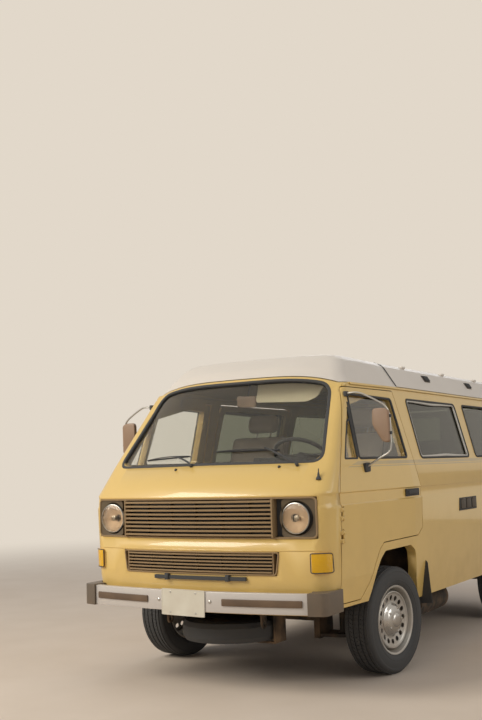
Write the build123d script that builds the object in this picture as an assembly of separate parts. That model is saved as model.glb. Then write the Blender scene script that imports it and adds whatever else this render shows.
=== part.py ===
from build123d import *
import os
from math import cos, radians, sin, sqrt

os.makedirs("parts", exist_ok=True)

# Frame: X to the van's left, Y to its rear, Z up from the road, in millimetres
# Stations are distances behind the face of the front bumper
LENGTH = 4570.0
FRONT_Y = -LENGTH / 2

# Body shell
WALL = 60.0
ROOF_THICKNESS = 28.0
SILL_Z = 415.0
GUTTER_Z = 1830.0
GUTTER_WIDTH = 46.0
GUTTER_STEP = 6.0
ROOF_Z = 1880.0
FRONT_BOW = 3600.0
REAR_BOW = 12000.0
TAPER_START = 1350.0
TAPER_SLOPE = 0.052
REAR_TAPER_START = 3700.0
REAR_TAPER_SLOPE = 0.025
BAND_DEPTH = 8.0

# Body levels: height, half width, front station, rear station, corner radius
BODY_LEVELS = (
    (SILL_Z, 865, 116, 4455, 120),
    (655, 903, 88, 4500, 130),
    (1078, 922, 82, 4512, 130),
    (1086, 922 - BAND_DEPTH, 82, 4505, 130),
    (1146, 920 - BAND_DEPTH, 86, 4505, 130),
    (1154, 920, 88, 4508, 130),
    (1341, 880, 262, 4470, 66),
    (GUTTER_Z, 758, 667, 4315, 48),
    (GUTTER_Z + GUTTER_STEP, 758 - GUTTER_WIDTH, 712, 4268, 48),
    (ROOF_Z, 690, 745, 4245, 48),
)
BAND_HEIGHTS = (1086, 1146)

# White roof mouldings: height, half width, front station, rear station, corner radius
ROOF_LEVELS = (
    (GUTTER_Z + GUTTER_STEP, 745, 677, 4292, 95),
    (1990, 645, 846, 4190, 95),
    (2016, 605, 888, 4150, 95),
    (2048, 340, 1150, 3880, 95),
)
ROOF_SKIN = 12.0
TRAY_END = 1548.0
POP_TOP_START = 1560.0
POP_TOP_BASE = 1843.0
BASIN_FLOOR = 1906.0
BASIN_RIM = 78.0
ROOF_HOLE = (1700.0, 3850.0, 500.0)

# Shut lines and openings: station and height
NOSE_EDGE = ((329, 400), (329, 1168), (419, 1342), (711, 1803), (728, 1836))
HEADER_HALF = 700.0
DOOR_GAP = 6.0
DOOR_STEP = 14.0
DOOR_SKIN = 14.0
FRONT_DOOR = (
    (335, 515), (600, 515), (698, 606), (763, 706), (826, 790), (880, 828), (1395, 836), (1474, 882),
    (1466, 1150), (1408, 1798), (716, 1798), (426, 1342), (335, 1166),
)
SLIDING_DOOR = ((1540, 512), (2690, 512), (2690, 1150), (2690, 1798), (1540, 1798), (1540, 1150))
DOOR_WINDOW = ((735, 1752), (1336, 1740), (1346, 1352), (668, 1352))
QUARTER_LIGHT = ((682, 1663), (640, 1352), (484, 1352))
MID_WINDOW = ((1605, 1347), (2626, 1347), (2614, 1750), (1616, 1750))
REAR_WINDOW = ((2792, 1347), (3778, 1347), (3700, 1750), (2804, 1750))
INTAKE = ((3880, 1400), (4085, 1400), (4040, 1716), (3850, 1716))
INTAKE_SLATS = 9
WINDSCREEN = ((-758, 1338), (758, 1338), (650, 1812), (-650, 1812))
TAILGATE = ((-722, 872), (722, 872), (716, 1180), (640, 1797), (-640, 1797), (-716, 1180))
TAILGATE_WINDOW = ((-608, 1352), (608, 1352), (556, 1742), (-556, 1742))
REAR_SPLIT = 4140.0
GLASS_INSET = 16.0
GLASS_THICKNESS = 5.0
WINDOW_ROUNDING = 38.0

# Wheels
WHEELBASE = 2461.0
FRONT_AXLE = 1062.0
TYRE_RADIUS = 331.0
TYRE_WIDTH = 205.0
RIM_RADIUS = 205.0
RIM_FLANGE = 213.0
RIM_WIDTH = 176.0
RIM_HOLES = 14
HALF_TRACK = 790.0
HUB_PIN = 20.0
HUB_BORE = 20.06
HUB_FACE = 34.0
KINGPIN_X = 700.0
KINGPIN_RADIUS = 12.0
BALL_JOINT = 115.0
REST_STEER = -8.0
ARCH = (
    (-415, 380), (-320, 560), (-278, 660), (-222, 728), (-160, 772), (215, 778), (282, 742), (300, 660),
    (330, 545), (410, 380),
)

# Front panel
GRILLE_Z = (900.0, 1138.0)
GRILLE_HALF = 790.0
GRILLE_DEPTH = 44.0
GRILLE_SLATS = 9
LOWER_GRILLE_Z = (690.0, 826.0)
LOWER_GRILLE_HALF = (560.0, 540.0)
LOWER_SLATS = 6
LAMP_X = 665.0
LAMP_Z = 1017.0
LAMP_RADIUS = 88.0
LAMP_SEAT = 186.0
BUMPER_Z = (485.0, 602.0)
BUMPER_HALF = 759.0
BUMPER_DEPTH = 42.0
CAP_SIDE = 832.0
CAP_BACK = 322.0

# Floor and cabin
FLOOR_Z = (470.0, 500.0)
DECK_Z = (935.0, 965.0)
BULKHEAD = 3450.0
HOUSING_TOP = 800.0
HOUSING_INNER = 460.0
HOUSING_SKIN = 10.0
RAIL_X = (300.0, 380.0)
RAIL_Z = (388.0, FLOOR_Z[0])
TOW_EYES = (-340.0, 340.0)
TOW_EYE_Z = 385.0
CABIN_CLEARANCE = 68.0

# Hinges
HINGE_RADIUS = 8.0
HINGE_PIN = 4.0
HINGE_SEGMENT = 24.0
DOOR_HINGE = (868.0, 349.0)
DOOR_HINGE_Z = (900.0, 1030.0)
TAILGATE_HINGE = (4319.0, 1813.0)
TAILGATE_HINGE_X = 360.0
POP_TOP_HINGE = (4305.0, 1853.0)
POP_TOP_HINGE_X = 450.0

# Steering wheel
STEERING_CENTRE = (370.0, 830.0, 1362.0)
STEERING_TILT = 40.0
STEERING_RADIUS = 190.0
STEERING_GRIP = 13.0
COLUMN_PIN = 12.0


def at(station):
    """Y of a station behind the front bumper's face."""
    return FRONT_Y + station


def block(x, stations, z):
    """Box from three low and high pairs."""
    size = (x[1] - x[0], stations[1] - stations[0], z[1] - z[0])
    return Pos(x[0], at(stations[0]), z[0]) * Box(*size, align=(Align.MIN,) * 3)


def rod(start, end, radius):
    """Round bar between two points given as x, station, z."""
    a, b = Vector(start[0], at(start[1]), start[2]), Vector(end[0], at(end[1]), end[2])
    return extrude(Plane(a, z_dir=b - a) * Circle(radius), amount=(b - a).length)


def panel_face(outline, rounding=0.0, grow=0.0):
    """Flat face from an outline, rounded and then grown or shrunk."""
    face = make_face(Polyline(*outline, close=True))
    if grow:
        face = offset(face, amount=grow, kind=Kind.INTERSECTION)
    return fillet(face.vertices(), rounding) if rounding else face


def side_prism(outline, rounding=0.0, grow=0.0, x=(706.0, 1100.0)):
    """Prism across the van from an outline of stations and heights."""
    face = panel_face([(at(s), z) for s, z in outline], rounding, grow)
    return Pos(x[0], 0, 0) * extrude(Plane.YZ * face, amount=x[1] - x[0])


def end_prism(outline, stations, rounding=0.0, grow=0.0):
    """Prism along the van from an outline of x and height."""
    face = panel_face(outline, rounding, grow)
    plane = Plane((0, at(stations[0]), 0), x_dir=(1, 0, 0), z_dir=(0, -1, 0))
    return extrude(plane * face, amount=stations[0] - stations[1])


def bow(x, radius=FRONT_BOW):
    """How far a bowed face falls back at a distance from the middle."""
    return radius - sqrt(radius * radius - x * x)


def bowed_strip(x, front, depth, z, radius=FRONT_BOW):
    """Bar that follows the bow of the nose, from front station to depth."""
    middle = (x[0] + x[1]) / 2
    lines = []
    for start in (front, front + depth):
        points = [(p, at(start + bow(p, radius))) for p in (x[0], middle, x[1])]
        lines.append(ThreePointArc(*points))
    ends = [Line(lines[0] @ t, lines[1] @ t) for t in (0, 1)]
    return extrude(Pos(0, 0, z[0]) * make_face([lines[0], ends[1], lines[1], ends[0]]), amount=z[1] - z[0])


def both(shape):
    """The shape and its mirror image across the van."""
    return shape + mirror(shape, Plane.YZ)


def corner(width, start, slope, face, bow_radius, radius):
    """Rounded corner between a bowed end and a tapering side: its three points."""
    norm = sqrt(1 + slope * slope)
    base = width - slope * start - radius * norm
    centre, reach = face + bow_radius, bow_radius - radius
    b = centre - base * slope
    y = (b - sqrt(b * b - norm * norm * (base * base + centre * centre - reach * reach))) / (norm * norm)
    x = base + slope * y
    first = Vector(x, y - centre) * (1 / reach)
    last = Vector(1, -slope) * (1 / norm)
    middle = (first + last).normalized()
    return [(x + radius * v.X, y + radius * v.Y) for v in (first, middle, last)]


def plan_face(z, width, front, rear, radius):
    """Plan of the body at one height: bowed ends, round corners, tapering sides."""
    a, b, c = corner(width, TAPER_START, TAPER_SLOPE, front, FRONT_BOW, radius)
    f, e, d = [
        (x, -s)
        for x, s in corner(width, -REAR_TAPER_START, REAR_TAPER_SLOPE, -rear, REAR_BOW, radius)
    ]
    side = [a, b, c, (width, TAPER_START), (width, REAR_TAPER_START), d, e, f]
    right = [(x, at(s)) for x, s in side]
    left = [(-x, y) for x, y in right]
    edges = [ThreePointArc(left[0], (0, at(front)), right[0])]
    for points in (right, left[::-1]):
        edges.append(ThreePointArc(*points[:3]))
        edges += [Line(points[i], points[i + 1]) for i in (2, 3, 4)]
        edges.append(ThreePointArc(*points[5:]))
        if points is right:
            edges.append(ThreePointArc(right[7], (0, at(rear)), left[7]))
    return Pos(0, 0, z) * make_face(edges)


def stack(levels):
    """Solid through the plan faces, straight between each two."""
    return loft([plan_face(*level) for level in levels], ruled=True)


def body_form(inset):
    """The closed body, its skin moved inwards by an amount."""
    levels = []
    for z, width, front, rear, radius in BODY_LEVELS:
        if inset > WALL / 2 and z in BAND_HEIGHTS:
            continue
        if z == ROOF_Z:
            z -= max(0.0, min(inset, ROOF_THICKNESS))
        levels.append((z, width - inset, front + inset, rear - inset, max(radius - inset, 25)))
    if inset > 0:
        levels.insert(0, (SILL_Z - 30, *levels[0][1:]))
    return stack(levels)


def roof_form(inset):
    """The closed roof moulding, its skin moved inwards by an amount."""
    levels = []
    for z, width, front, rear, radius in ROOF_LEVELS:
        drop = inset if z > ROOF_LEVELS[1][0] else 0
        levels.append((z - drop, width - inset, front + inset, rear - inset, radius - inset))
    if inset > 0:
        levels.insert(0, (ROOF_LEVELS[0][0] - 30, *levels[0][1:]))
    return stack(levels)


def hinge(fixed_reach, moving_reach, leaf=(-4.0, 4.0), turned=False):
    """Hinge about local Z: fixed leaf towards -Y, moving leaf towards +Y or turned to -X."""
    pitch = HINGE_SEGMENT
    low, high = leaf
    fixed = Cylinder(HINGE_PIN, 3 * pitch)
    for z in (-pitch, pitch):
        fixed += Pos(0, 0, z) * Cylinder(HINGE_RADIUS, pitch)
        fixed += Pos((low + high) / 2, -fixed_reach / 2, z) * Box(high - low, fixed_reach, pitch)
    moving = Cylinder(HINGE_RADIUS, pitch - 2)
    if turned:
        moving += Pos(-moving_reach / 2, 0, 0) * Box(moving_reach, high - low, pitch - 2)
    else:
        moving += Pos((low + high) / 2, moving_reach / 2, 0) * Box(high - low, moving_reach, pitch - 2)
    fixed -= Cylinder(HINGE_RADIUS + 1, pitch) - Cylinder(HINGE_PIN, pitch)
    moving -= Cylinder(HINGE_PIN + 0.06, pitch + 2)
    notch = Cylinder(HINGE_RADIUS + 6, 3 * pitch + 12)
    notch += Pos((low + high) / 2, -fixed_reach / 2, 0) * Box(high - low + 12, fixed_reach, 3 * pitch + 12)
    return fixed, moving, notch


OUTER = body_form(0)
INNER = body_form(WALL)
CABIN = body_form(CABIN_CLEARANCE)
SHELL = OUTER - INNER
GLASS = body_form(GLASS_INSET) - body_form(GLASS_INSET + GLASS_THICKNESS)
SKIN_INNER = body_form(DOOR_SKIN)
SKIN = OUTER - SKIN_INNER
LINING = SKIN_INNER - INNER
NOSE_ZONE = side_prism(((-200, 380), *NOSE_EDGE, (-200, GUTTER_Z + GUTTER_STEP)), x=(-1100, 1100))
NOSE_ZONE &= block((-1100, 1100), (-200, 1000), (380, GUTTER_Z))
NOSE_ZONE += block((-HEADER_HALF, HEADER_HALF), (-200, 1000), (380, GUTTER_Z))
AXLES = (FRONT_AXLE, FRONT_AXLE + WHEELBASE)


def hung(prism, outline, rounding):
    """Panel with a full outer skin and a narrower box behind it."""
    return (SKIN & prism(outline, rounding)) + (LINING & prism(outline, rounding, -DOOR_STEP))


def tail_prism(outline, rounding=0.0, grow=0.0):
    """Prism through the back of the van."""
    return end_prism(outline, (REAR_SPLIT, LENGTH + 100), rounding, grow)


def arch(axle):
    """Wheel arch with a flat top."""
    return side_prism([(axle + s, z) for s, z in ARCH], 60)


def door_hinges():
    """Fixed parts, moving parts and notches of one front door's hinges."""
    sets = ([], [], [])
    for z in DOOR_HINGE_Z:
        for found, piece in zip(sets, hinge(32, 36, (-11.0, 3.0))):
            found.append(Pos(DOOR_HINGE[0], at(DOOR_HINGE[1]), z) * piece)
    return sets


def front_door():
    """Left front door: skin, box, window frame and hinge barrels."""
    _, moving, notches = door_hinges()
    door = hung(side_prism, FRONT_DOOR, 16)
    door -= side_prism(DOOR_WINDOW, 24)
    door -= side_prism(QUARTER_LIGHT)
    for notch in notches:
        door -= notch
    for barrel in moving:
        door += barrel
    return door


def door_glass():
    """Glass of one front door, in two panes."""
    return GLASS & (side_prism(DOOR_WINDOW, 24) + side_prism(QUARTER_LIGHT))


def mirror_arm():
    """Looped tube and head of one door mirror."""
    path = ((756, 716, 1752), (1000, 735, 1760), (1022, 742, 1740), (1022, 742, 1400), (1000, 735, 1380))
    tube = rod(path[0], path[1], 6)
    for a, b in zip(path[1:], (*path[2:], (862, 726, 1296))):
        tube += Pos(a[0], at(a[1]), a[2]) * Sphere(6)
        tube += rod(a, b, 6)
    foot = side_prism(((690, 1262), (764, 1262), (764, 1322), (690, 1322)), 14, x=(850, 874))
    tube += foot
    head = block((908, 1026), (712, 748), (1450, 1645))
    head = fillet(head.edges().filter_by(Axis.Y), 22)
    head = fillet(head.faces().sort_by(Axis.Y)[0].edges(), 12)
    return (tube + head) - OUTER


def nose_panel():
    """Front of the body: nose, pillars, windscreen frame, pockets for grilles and lamps."""
    panel = SHELL & NOSE_ZONE
    panel -= end_prism(WINDSCREEN, (-100, 1000), 70)
    panel -= bowed_strip((-GRILLE_HALF, GRILLE_HALF), 40, 44 + GRILLE_DEPTH, GRILLE_Z)
    panel -= end_prism(lower_outline(), (-100, 500))
    for x in (-LAMP_X, LAMP_X):
        panel -= Pos(x, at(LAMP_SEAT - 45), LAMP_Z) * Rot(90, 0, 0) * Cylinder(LAMP_RADIUS, 90)
    fixed, _, _ = door_hinges()
    for piece in fixed:
        panel += both(piece)
    return panel


def lower_outline(inset=0.0):
    """Outline of the lower grille, wider at its top."""
    top, foot = LOWER_GRILLE_HALF[0] - inset, LOWER_GRILLE_HALF[1] - inset
    low, high = LOWER_GRILLE_Z[0] + inset, LOWER_GRILLE_Z[1] - inset
    return ((-foot, low), (foot, low), (top, high), (-top, high))


def side_wall():
    """Left side from the door to the rear corner: sill, pillars, cant rail and windows."""
    wall = SHELL & block((HEADER_HALF, 1100), (-100, REAR_SPLIT), (380, GUTTER_Z))
    wall -= NOSE_ZONE
    wall -= side_prism(FRONT_DOOR, 22, DOOR_GAP)
    for axle in AXLES:
        wall -= arch(axle)
    wall -= side_prism(MID_WINDOW, WINDOW_ROUNDING) + side_prism(REAR_WINDOW, WINDOW_ROUNDING)
    (s0, z0), (s1, _), (s2, z2), (s3, _) = INTAKE
    step = (z2 - z0) / INTAKE_SLATS
    for i in range(INTAKE_SLATS):
        low, part = z0 + i * step, i / INTAKE_SLATS
        a, b = s0 + (s3 - s0) * part, s1 + (s2 - s1) * part
        wall -= block((HEADER_HALF, 1100), (a, b), (low, low + 0.45 * step))
    return max(wall.solids(), key=lambda piece: piece.volume)


def right_side_wall(wall):
    """Right side, open where the sliding door stands."""
    wall = wall - side_prism(SLIDING_DOOR, 30, DOOR_GAP)
    return mirror(max(wall.solids(), key=lambda piece: piece.volume), Plane.YZ)


def sliding_door():
    """Sliding side door with its window hole, guide shoes and rail shoes."""
    door = hung(side_prism, SLIDING_DOOR, 24) - side_prism(MID_WINDOW, WINDOW_ROUNDING)
    ends = (SLIDING_DOOR[0][0], SLIDING_DOOR[1][0])
    for z in (640, 1110, 1700):
        for a, b in ((ends[0] - DOOR_GAP, ends[0] + 30), (ends[1] - 30, ends[1] + DOOR_GAP)):
            door += side_prism(((a, z), (b, z), (b, z + 40), (a, z + 40))) & LINING
    return mirror(door, Plane.YZ)


def side_glass():
    """Fixed side windows: two on the left, one and the sliding door's on the right."""
    panes = GLASS & (side_prism(MID_WINDOW, WINDOW_ROUNDING) + side_prism(REAR_WINDOW, WINDOW_ROUNDING))
    return both(panes)


def tailgate_hinges():
    """Fixed parts, moving parts and notches of the tailgate's hinges."""
    sets = ([], [], [])
    for x in (-TAILGATE_HINGE_X, TAILGATE_HINGE_X):
        plane = Plane((x, at(TAILGATE_HINGE[0]), TAILGATE_HINGE[1]), x_dir=(0, -1, 0), z_dir=(1, 0, 0))
        for found, piece in zip(sets, hinge(14, 36, (-3.0, 9.0))):
            found.append(plane.location * piece)
    return sets


def rear_frame():
    """Rear corners and lower panel around the tailgate."""
    frame = SHELL & block((-1100, 1100), (REAR_SPLIT, LENGTH), (380, GUTTER_Z))
    frame -= tail_prism(TAILGATE, 46, DOOR_GAP)
    fixed, _, notches = tailgate_hinges()
    for piece, notch in zip(fixed, notches):
        frame = frame - notch + piece
    return frame


def tailgate():
    """Rear gate with its window hole and hinge barrels."""
    gate = hung(tail_prism, TAILGATE, 40) - tail_prism(TAILGATE_WINDOW, 50)
    _, moving, notches = tailgate_hinges()
    for piece, notch in zip(moving, notches):
        gate = gate - notch + piece
    return gate


def pop_top_hinges():
    """Fixed and moving parts of the pop-top's rear hinges."""
    sets = ([], [], [])
    for x in (-POP_TOP_HINGE_X, POP_TOP_HINGE_X):
        plane = Plane((x, at(POP_TOP_HINGE[0]), POP_TOP_HINGE[1]), x_dir=(0, 1, 0), z_dir=(1, 0, 0))
        for found, piece in zip(sets, hinge(27, 44, turned=True)):
            found.append(plane.location * piece)
    return sets


def roof_panel():
    """Steel roof with its gutter ledge and the hole under the pop-top."""
    front, rear, half = ROOF_HOLE
    panel = SHELL & block((-1100, 1100), (0, LENGTH), (GUTTER_Z, ROOF_Z))
    panel -= block((-half, half), (front, rear), (GUTTER_Z - 10, ROOF_Z + 10))
    for piece in pop_top_hinges()[0]:
        panel += piece - block((-1100, 1100), (0, LENGTH), (0, GUTTER_Z))
    return panel


def luggage_tray():
    """White roof moulding over the cab, with an open basin."""
    front = ROOF_LEVELS[2][2]
    half = ROOF_LEVELS[2][1] - BASIN_RIM
    shape = roof_form(0) & block((-900, 900), (0, TRAY_END), (ROOF_LEVELS[0][0], ROOF_Z + 300))
    basin = bowed_strip((-half, half), front + BASIN_RIM, TRAY_END - front - 2 * BASIN_RIM, (BASIN_FLOOR, 2200))
    basin &= block((-half, half), (0, TRAY_END - BASIN_RIM), (BASIN_FLOOR, 2200))
    return shape - basin - OUTER


def pop_top():
    """Rising rear roof: moulded shell, front wall and hinge barrels."""
    zone = block((-900, 900), (POP_TOP_START, LENGTH), (POP_TOP_BASE, ROOF_Z + 300))
    outer = roof_form(0)
    inner = roof_form(ROOF_SKIN)
    shell = (outer - inner) & zone
    front = outer & zone & block((-900, 900), (0, POP_TOP_START + ROOF_SKIN), (0, 3000))
    roof = BODY_LEVELS[-2][1] + POP_TOP_BASE - ROOF_LEVELS[0][0]
    shell += front - block((-roof, roof), (0, LENGTH), (0, ROOF_Z + POP_TOP_BASE - ROOF_LEVELS[0][0]))
    for piece in pop_top_hinges()[1]:
        shell += piece - inner
    return shell


def tent_canvas():
    """Folded canvas of the pop-top, a flat ring around the roof hole."""
    front, rear, half = ROOF_HOLE
    ring = block((-half - 70, half + 70), (front - 70, rear + 70), (ROOF_Z, ROOF_Z + 40))
    return ring - block((-half - 10, half + 10), (front - 10, rear + 10), (ROOF_Z - 5, ROOF_Z + 60))


def grilles():
    """Upper grille with lamp bezels and lower grille, each a frame with slats."""
    low, high = GRILLE_Z
    edge = GRILLE_HALF
    face, back = 80, 84 + GRILLE_DEPTH
    upper = bowed_strip((-edge, edge), face, back - face, GRILLE_Z)
    upper -= bowed_strip((-edge + 9, edge - 9), face - 20, 120, (low + 10, high - 10))
    pitch = (high - low - 20) / GRILLE_SLATS
    for i in range(GRILLE_SLATS):
        z = low + 10 + (i + 0.25) * pitch
        upper += bowed_strip((-546, 546), face + 5, 16, (z, z + 0.5 * pitch))
    for x in (-546, -190, 182, 538):
        upper += bowed_strip((x, x + 8), face + 8, back - face - 8, (low + 9, high - 9))
    bezels = bowed_strip((578, edge - 8), face + 12, 24, (low + 9, high - 9))
    bezels -= Pos(LAMP_X, at(150), LAMP_Z) * Rot(90, 0, 0) * Cylinder(LAMP_RADIUS, 90)
    upper += both(bezels)
    low, high = LOWER_GRILLE_Z
    lower = bowed_strip((-560, 560), face + 2, 46, LOWER_GRILLE_Z) & end_prism(lower_outline(), (-100, 500))
    lower -= end_prism(lower_outline(9), (-100, 500))
    pitch = (high - low - 18) / LOWER_SLATS
    for i in range(LOWER_SLATS):
        z = low + 9 + (i + 0.25) * pitch
        slat = bowed_strip((-560, 560), face + 6, 18, (z, z + 0.5 * pitch))
        lower += slat & end_prism(lower_outline(4), (-100, 500))
    for x in (-4, -304, 296):
        lower += bowed_strip((x, x + 8), face + 16, 30, (low + 8, high - 8))
    return upper, lower


def headlamps():
    """Round headlamps: domed glass on a short drum."""
    lamp = Pos(LAMP_X, at(LAMP_SEAT - 19), LAMP_Z) * Rot(90, 0, 0) * Cylinder(LAMP_RADIUS, 38)
    dome = Pos(LAMP_X, at(145 + 240), LAMP_Z) * Sphere(256)
    return both(lamp + (dome & Pos(LAMP_X, at(134), LAMP_Z) * Rot(90, 0, 0) * Cylinder(LAMP_RADIUS, 32)))


def corner_lamps():
    """Amber indicators wrapped around the front corners."""
    zone = block((742, 950), (60, 262), (706, 820))
    return both((zone & body_form(-14)) - OUTER)


def tail_lamps():
    """Red lamps at the rear corners."""
    zone = block((744, 950), (4380, 4600), (800, 1040))
    return both((zone & body_form(-16)) - OUTER)


def bumper_bar(radius):
    """Steel bar of channel section with its two brackets, as at the front."""
    bar = bowed_strip((-BUMPER_HALF, BUMPER_HALF), 0, BUMPER_DEPTH, BUMPER_Z, radius)
    hollow = bowed_strip((-BUMPER_HALF + 6, BUMPER_HALF - 6), 5, 90, (BUMPER_Z[0] + 5, BUMPER_Z[1] - 5), radius)
    return bar - hollow


def bumpers():
    """Front and rear bumper bars, each on two brackets."""
    z = (BUMPER_Z[0] + 22, BUMPER_Z[1] - 22)
    bars = []
    for radius in (FRONT_BOW, REAR_BOW):
        brackets = both(block((370, 430), (0, 160), z)) - bowed_strip((-440, 440), -40, 45, z, radius)
        bars.append(bumper_bar(radius) + brackets)
    return bars[0] - OUTER, mirror(bars[1], Plane.XZ) - OUTER


def bumper_trim():
    """Rubber strips on both bars and the plastic end caps."""
    z = (BUMPER_Z[0] + 40, BUMPER_Z[0] + 80)
    strips = bowed_strip((-728, -296), -9, 9, z) + bowed_strip((236, 728), -9, 9, z)
    rear = both(bowed_strip((260, 728), -9, 9, z, REAR_BOW))
    pieces = [strips, mirror(rear, Plane.XZ)]
    clear = body_form(-4)
    for radius, bend, width, back in ((FRONT_BOW, 46, 864, CAP_BACK), (REAR_BOW, 60, 924, 400)):
        nose = bow(BUMPER_HALF, radius)
        outline = ((748, at(nose - 16)), (width, at(nose + 14)), (width - 2, at(back)), (748, at(back)))
        face = make_face(Polyline(*outline, close=True))
        face = fillet(face.vertices().sort_by(Axis.X)[-1], bend)
        cap = Pos(0, 0, BUMPER_Z[0] - 5) * extrude(face, amount=BUMPER_Z[1] - BUMPER_Z[0] + 10)
        cap -= bowed_strip((-BUMPER_HALF, BUMPER_HALF), -40, 110, (0, 2000), radius)
        if radius == REAR_BOW:
            cap = mirror(cap, Plane.XZ)
        pieces.append(both(cap - clear))
    return pieces


def tyre():
    """Tyre about local X, its outer side towards +X."""
    half, bead = TYRE_WIDTH / 2, RIM_WIDTH / 2 - 4
    tread = 74
    right = ((bead, RIM_RADIUS), (bead, RIM_FLANGE + 1), (half - 4, 240), (half, 268), (half - 8, 308), (tread, TYRE_RADIUS - 2))
    profile = Polyline((0, TYRE_RADIUS), *right[::-1], *[(-x, r) for x, r in right], (0, TYRE_RADIUS))
    return revolve(make_face(profile), Axis.X)


def rim():
    """Steel wheel about local X: barrel, flanges, pierced disc, brake disc and hub boss."""
    half = RIM_WIDTH / 2
    flange = 4
    parts = (
        ((-half, half), (RIM_RADIUS - 6, RIM_RADIUS)),
        ((-half, -half + flange), (RIM_RADIUS - 6, RIM_FLANGE)),
        ((half - flange, half), (RIM_RADIUS - 6, RIM_FLANGE)),
        ((HUB_FACE - 4, HUB_FACE + 4), (58, RIM_RADIUS - 4)),
        ((-4, HUB_FACE + 22), (HUB_BORE, 60)),
        ((-4, 8), (55, 130)),
        ((HUB_FACE + 20, HUB_FACE + 30), (0, 52)),
    )
    shape = None
    for (x0, x1), (r0, r1) in parts:
        ring = revolve(make_face(Polyline((x0, r0), (x1, r0), (x1, r1), (x0, r1), close=True)), Axis.X)
        shape = ring if shape is None else shape + ring
    for i in range(RIM_HOLES):
        hole = Pos(HUB_FACE, 0, 0) * Rot(360 / RIM_HOLES * i, 0, 0) * Pos(0, 150, 0) * Rot(0, 90, 0)
        shape -= hole * Cylinder(14, 20)
    return shape


def steered(shape):
    """Turn a left-side piece about the kingpin to the rest angle."""
    pin = Pos(KINGPIN_X, at(FRONT_AXLE), 0)
    return pin * Rot(0, 0, REST_STEER) * pin.inverse() * shape


def steered_right(shape):
    """Mirror a left-side piece and turn it about the right kingpin."""
    pin = Pos(-KINGPIN_X, at(FRONT_AXLE), 0)
    return pin * Rot(0, 0, REST_STEER) * pin.inverse() * mirror(shape, Plane.YZ)


def stub(root):
    """Stub axle along X from a root, with the pin that carries a hub."""
    shoulder = HALF_TRACK - 12
    shaft = Pos((root + shoulder) / 2, 0, 0) * Rot(0, 90, 0) * Cylinder(30, shoulder - root)
    tip = HALF_TRACK + HUB_FACE + 14
    return shaft + Pos((root + tip) / 2, 0, 0) * Rot(0, 90, 0) * Cylinder(HUB_PIN, tip - root)


def knuckle():
    """Left steering knuckle, straight ahead: upright, ball studs, stub axle and steering arm."""
    hub = Pos(0, at(FRONT_AXLE), TYRE_RADIUS)
    shape = hub * Pos(KINGPIN_X + 4, 0, 0) * Box(30, 62, 2 * BALL_JOINT - 40)
    shape += hub * Pos(KINGPIN_X, 0, 0) * Cylinder(KINGPIN_RADIUS, 2 * BALL_JOINT + 44)
    shape += hub * stub(KINGPIN_X)
    arm = hub * Pos(KINGPIN_X, 75, -30) * Box(20, 120, 18)
    return shape + arm


def wishbone(z, thickness, root):
    """Left wishbone: two legs from the root to the eye around a ball stud."""
    eye = Pos(KINGPIN_X, at(FRONT_AXLE), z) * Cylinder(26, thickness)
    shape = eye
    for side in (-1, 1):
        spread = FRONT_AXLE + side * 82
        leg = Polyline(
            (root, at(spread - 13)), (KINGPIN_X - 5, at(FRONT_AXLE + side * 8 - 11)),
            (KINGPIN_X - 5, at(FRONT_AXLE + side * 8 + 11)), (root, at(spread + 13)), close=True,
        )
        shape += Pos(0, 0, z - thickness / 2) * extrude(make_face(leg), amount=thickness)
    bore = Pos(KINGPIN_X, at(FRONT_AXLE), z) * Cylinder(KINGPIN_RADIUS + 0.06, thickness + 4)
    return shape - bore


def front_axle():
    """Crossmember, wishbones, dampers and steering rack."""
    lower, upper = TYRE_RADIUS - BALL_JOINT, TYRE_RADIUS + BALL_JOINT
    beam = block((-370, 370), (FRONT_AXLE - 55, FRONT_AXLE + 55), (300, RAIL_Z[0]))
    side = wishbone(lower, 22, 350) + block((330, 372), (965, 1159), (lower - 20, RAIL_Z[0]))
    side += wishbone(upper, 16, RAIL_X[1])
    side += block((470, 524), (1015, 1109), (lower - 11, lower + 11))
    side += rod((497, FRONT_AXLE, lower), (497, FRONT_AXLE, HOUSING_TOP - HOUSING_SKIN), 26)
    rack = rod((-300, 1200, 330), (300, 1200, 330), 24) + both(block((200, 240), (1110, 1205), (310, 350)))
    return beam + both(side) + rack


def rear_axle():
    """Transaxle, half shafts, trailing arms, hub carriers and dampers."""
    station = AXLES[1]
    shape = block((-130, 130), (3120, 3700), (270, 470))
    shape += rod((-120, station, TYRE_RADIUS), (120, station, TYRE_RADIUS), 90)
    side = rod((100, station, TYRE_RADIUS), (690, station, TYRE_RADIUS), 19)
    side += rod((430, 3040, 380), (645, station - 10, TYRE_RADIUS), 30)
    side += block((RAIL_X[1], 450), (3000, 3075), (340, 440))
    side += rod((610, station, TYRE_RADIUS), (690, station, TYRE_RADIUS), 58)
    side += Pos(0, at(station), TYRE_RADIUS) * stub(680)
    side += rod((497, station + 20, 330), (497, station + 20, HOUSING_TOP - HOUSING_SKIN), 26)
    side += block((470, 640), (station - 25, station + 60), (318, 344))
    return shape + both(side)


def wheel_housing(axle):
    """Left inner wheel housing, open towards the wheel."""
    low, high = axle - 425, axle + 425
    skin = HOUSING_SKIN
    box = block((HOUSING_INNER, 1000), (low, high), (FLOOR_Z[0], HOUSING_TOP))
    return box - block(
        (HOUSING_INNER + skin, 1100), (low + skin, high - skin), (0, HOUSING_TOP - skin)
    )


def housing_zone(axle):
    """Room of the wheel housings at one axle, both sides."""
    return both(block((HOUSING_INNER, 1100), (axle - 425, axle + 425), (0, HOUSING_TOP)))


def floor_pan():
    """Floor plate, open over the wheels."""
    plate = block((-1000, 1000), (150, BULKHEAD), FLOOR_Z) & INNER
    for axle in AXLES:
        plate -= housing_zone(axle)
    return plate


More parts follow.
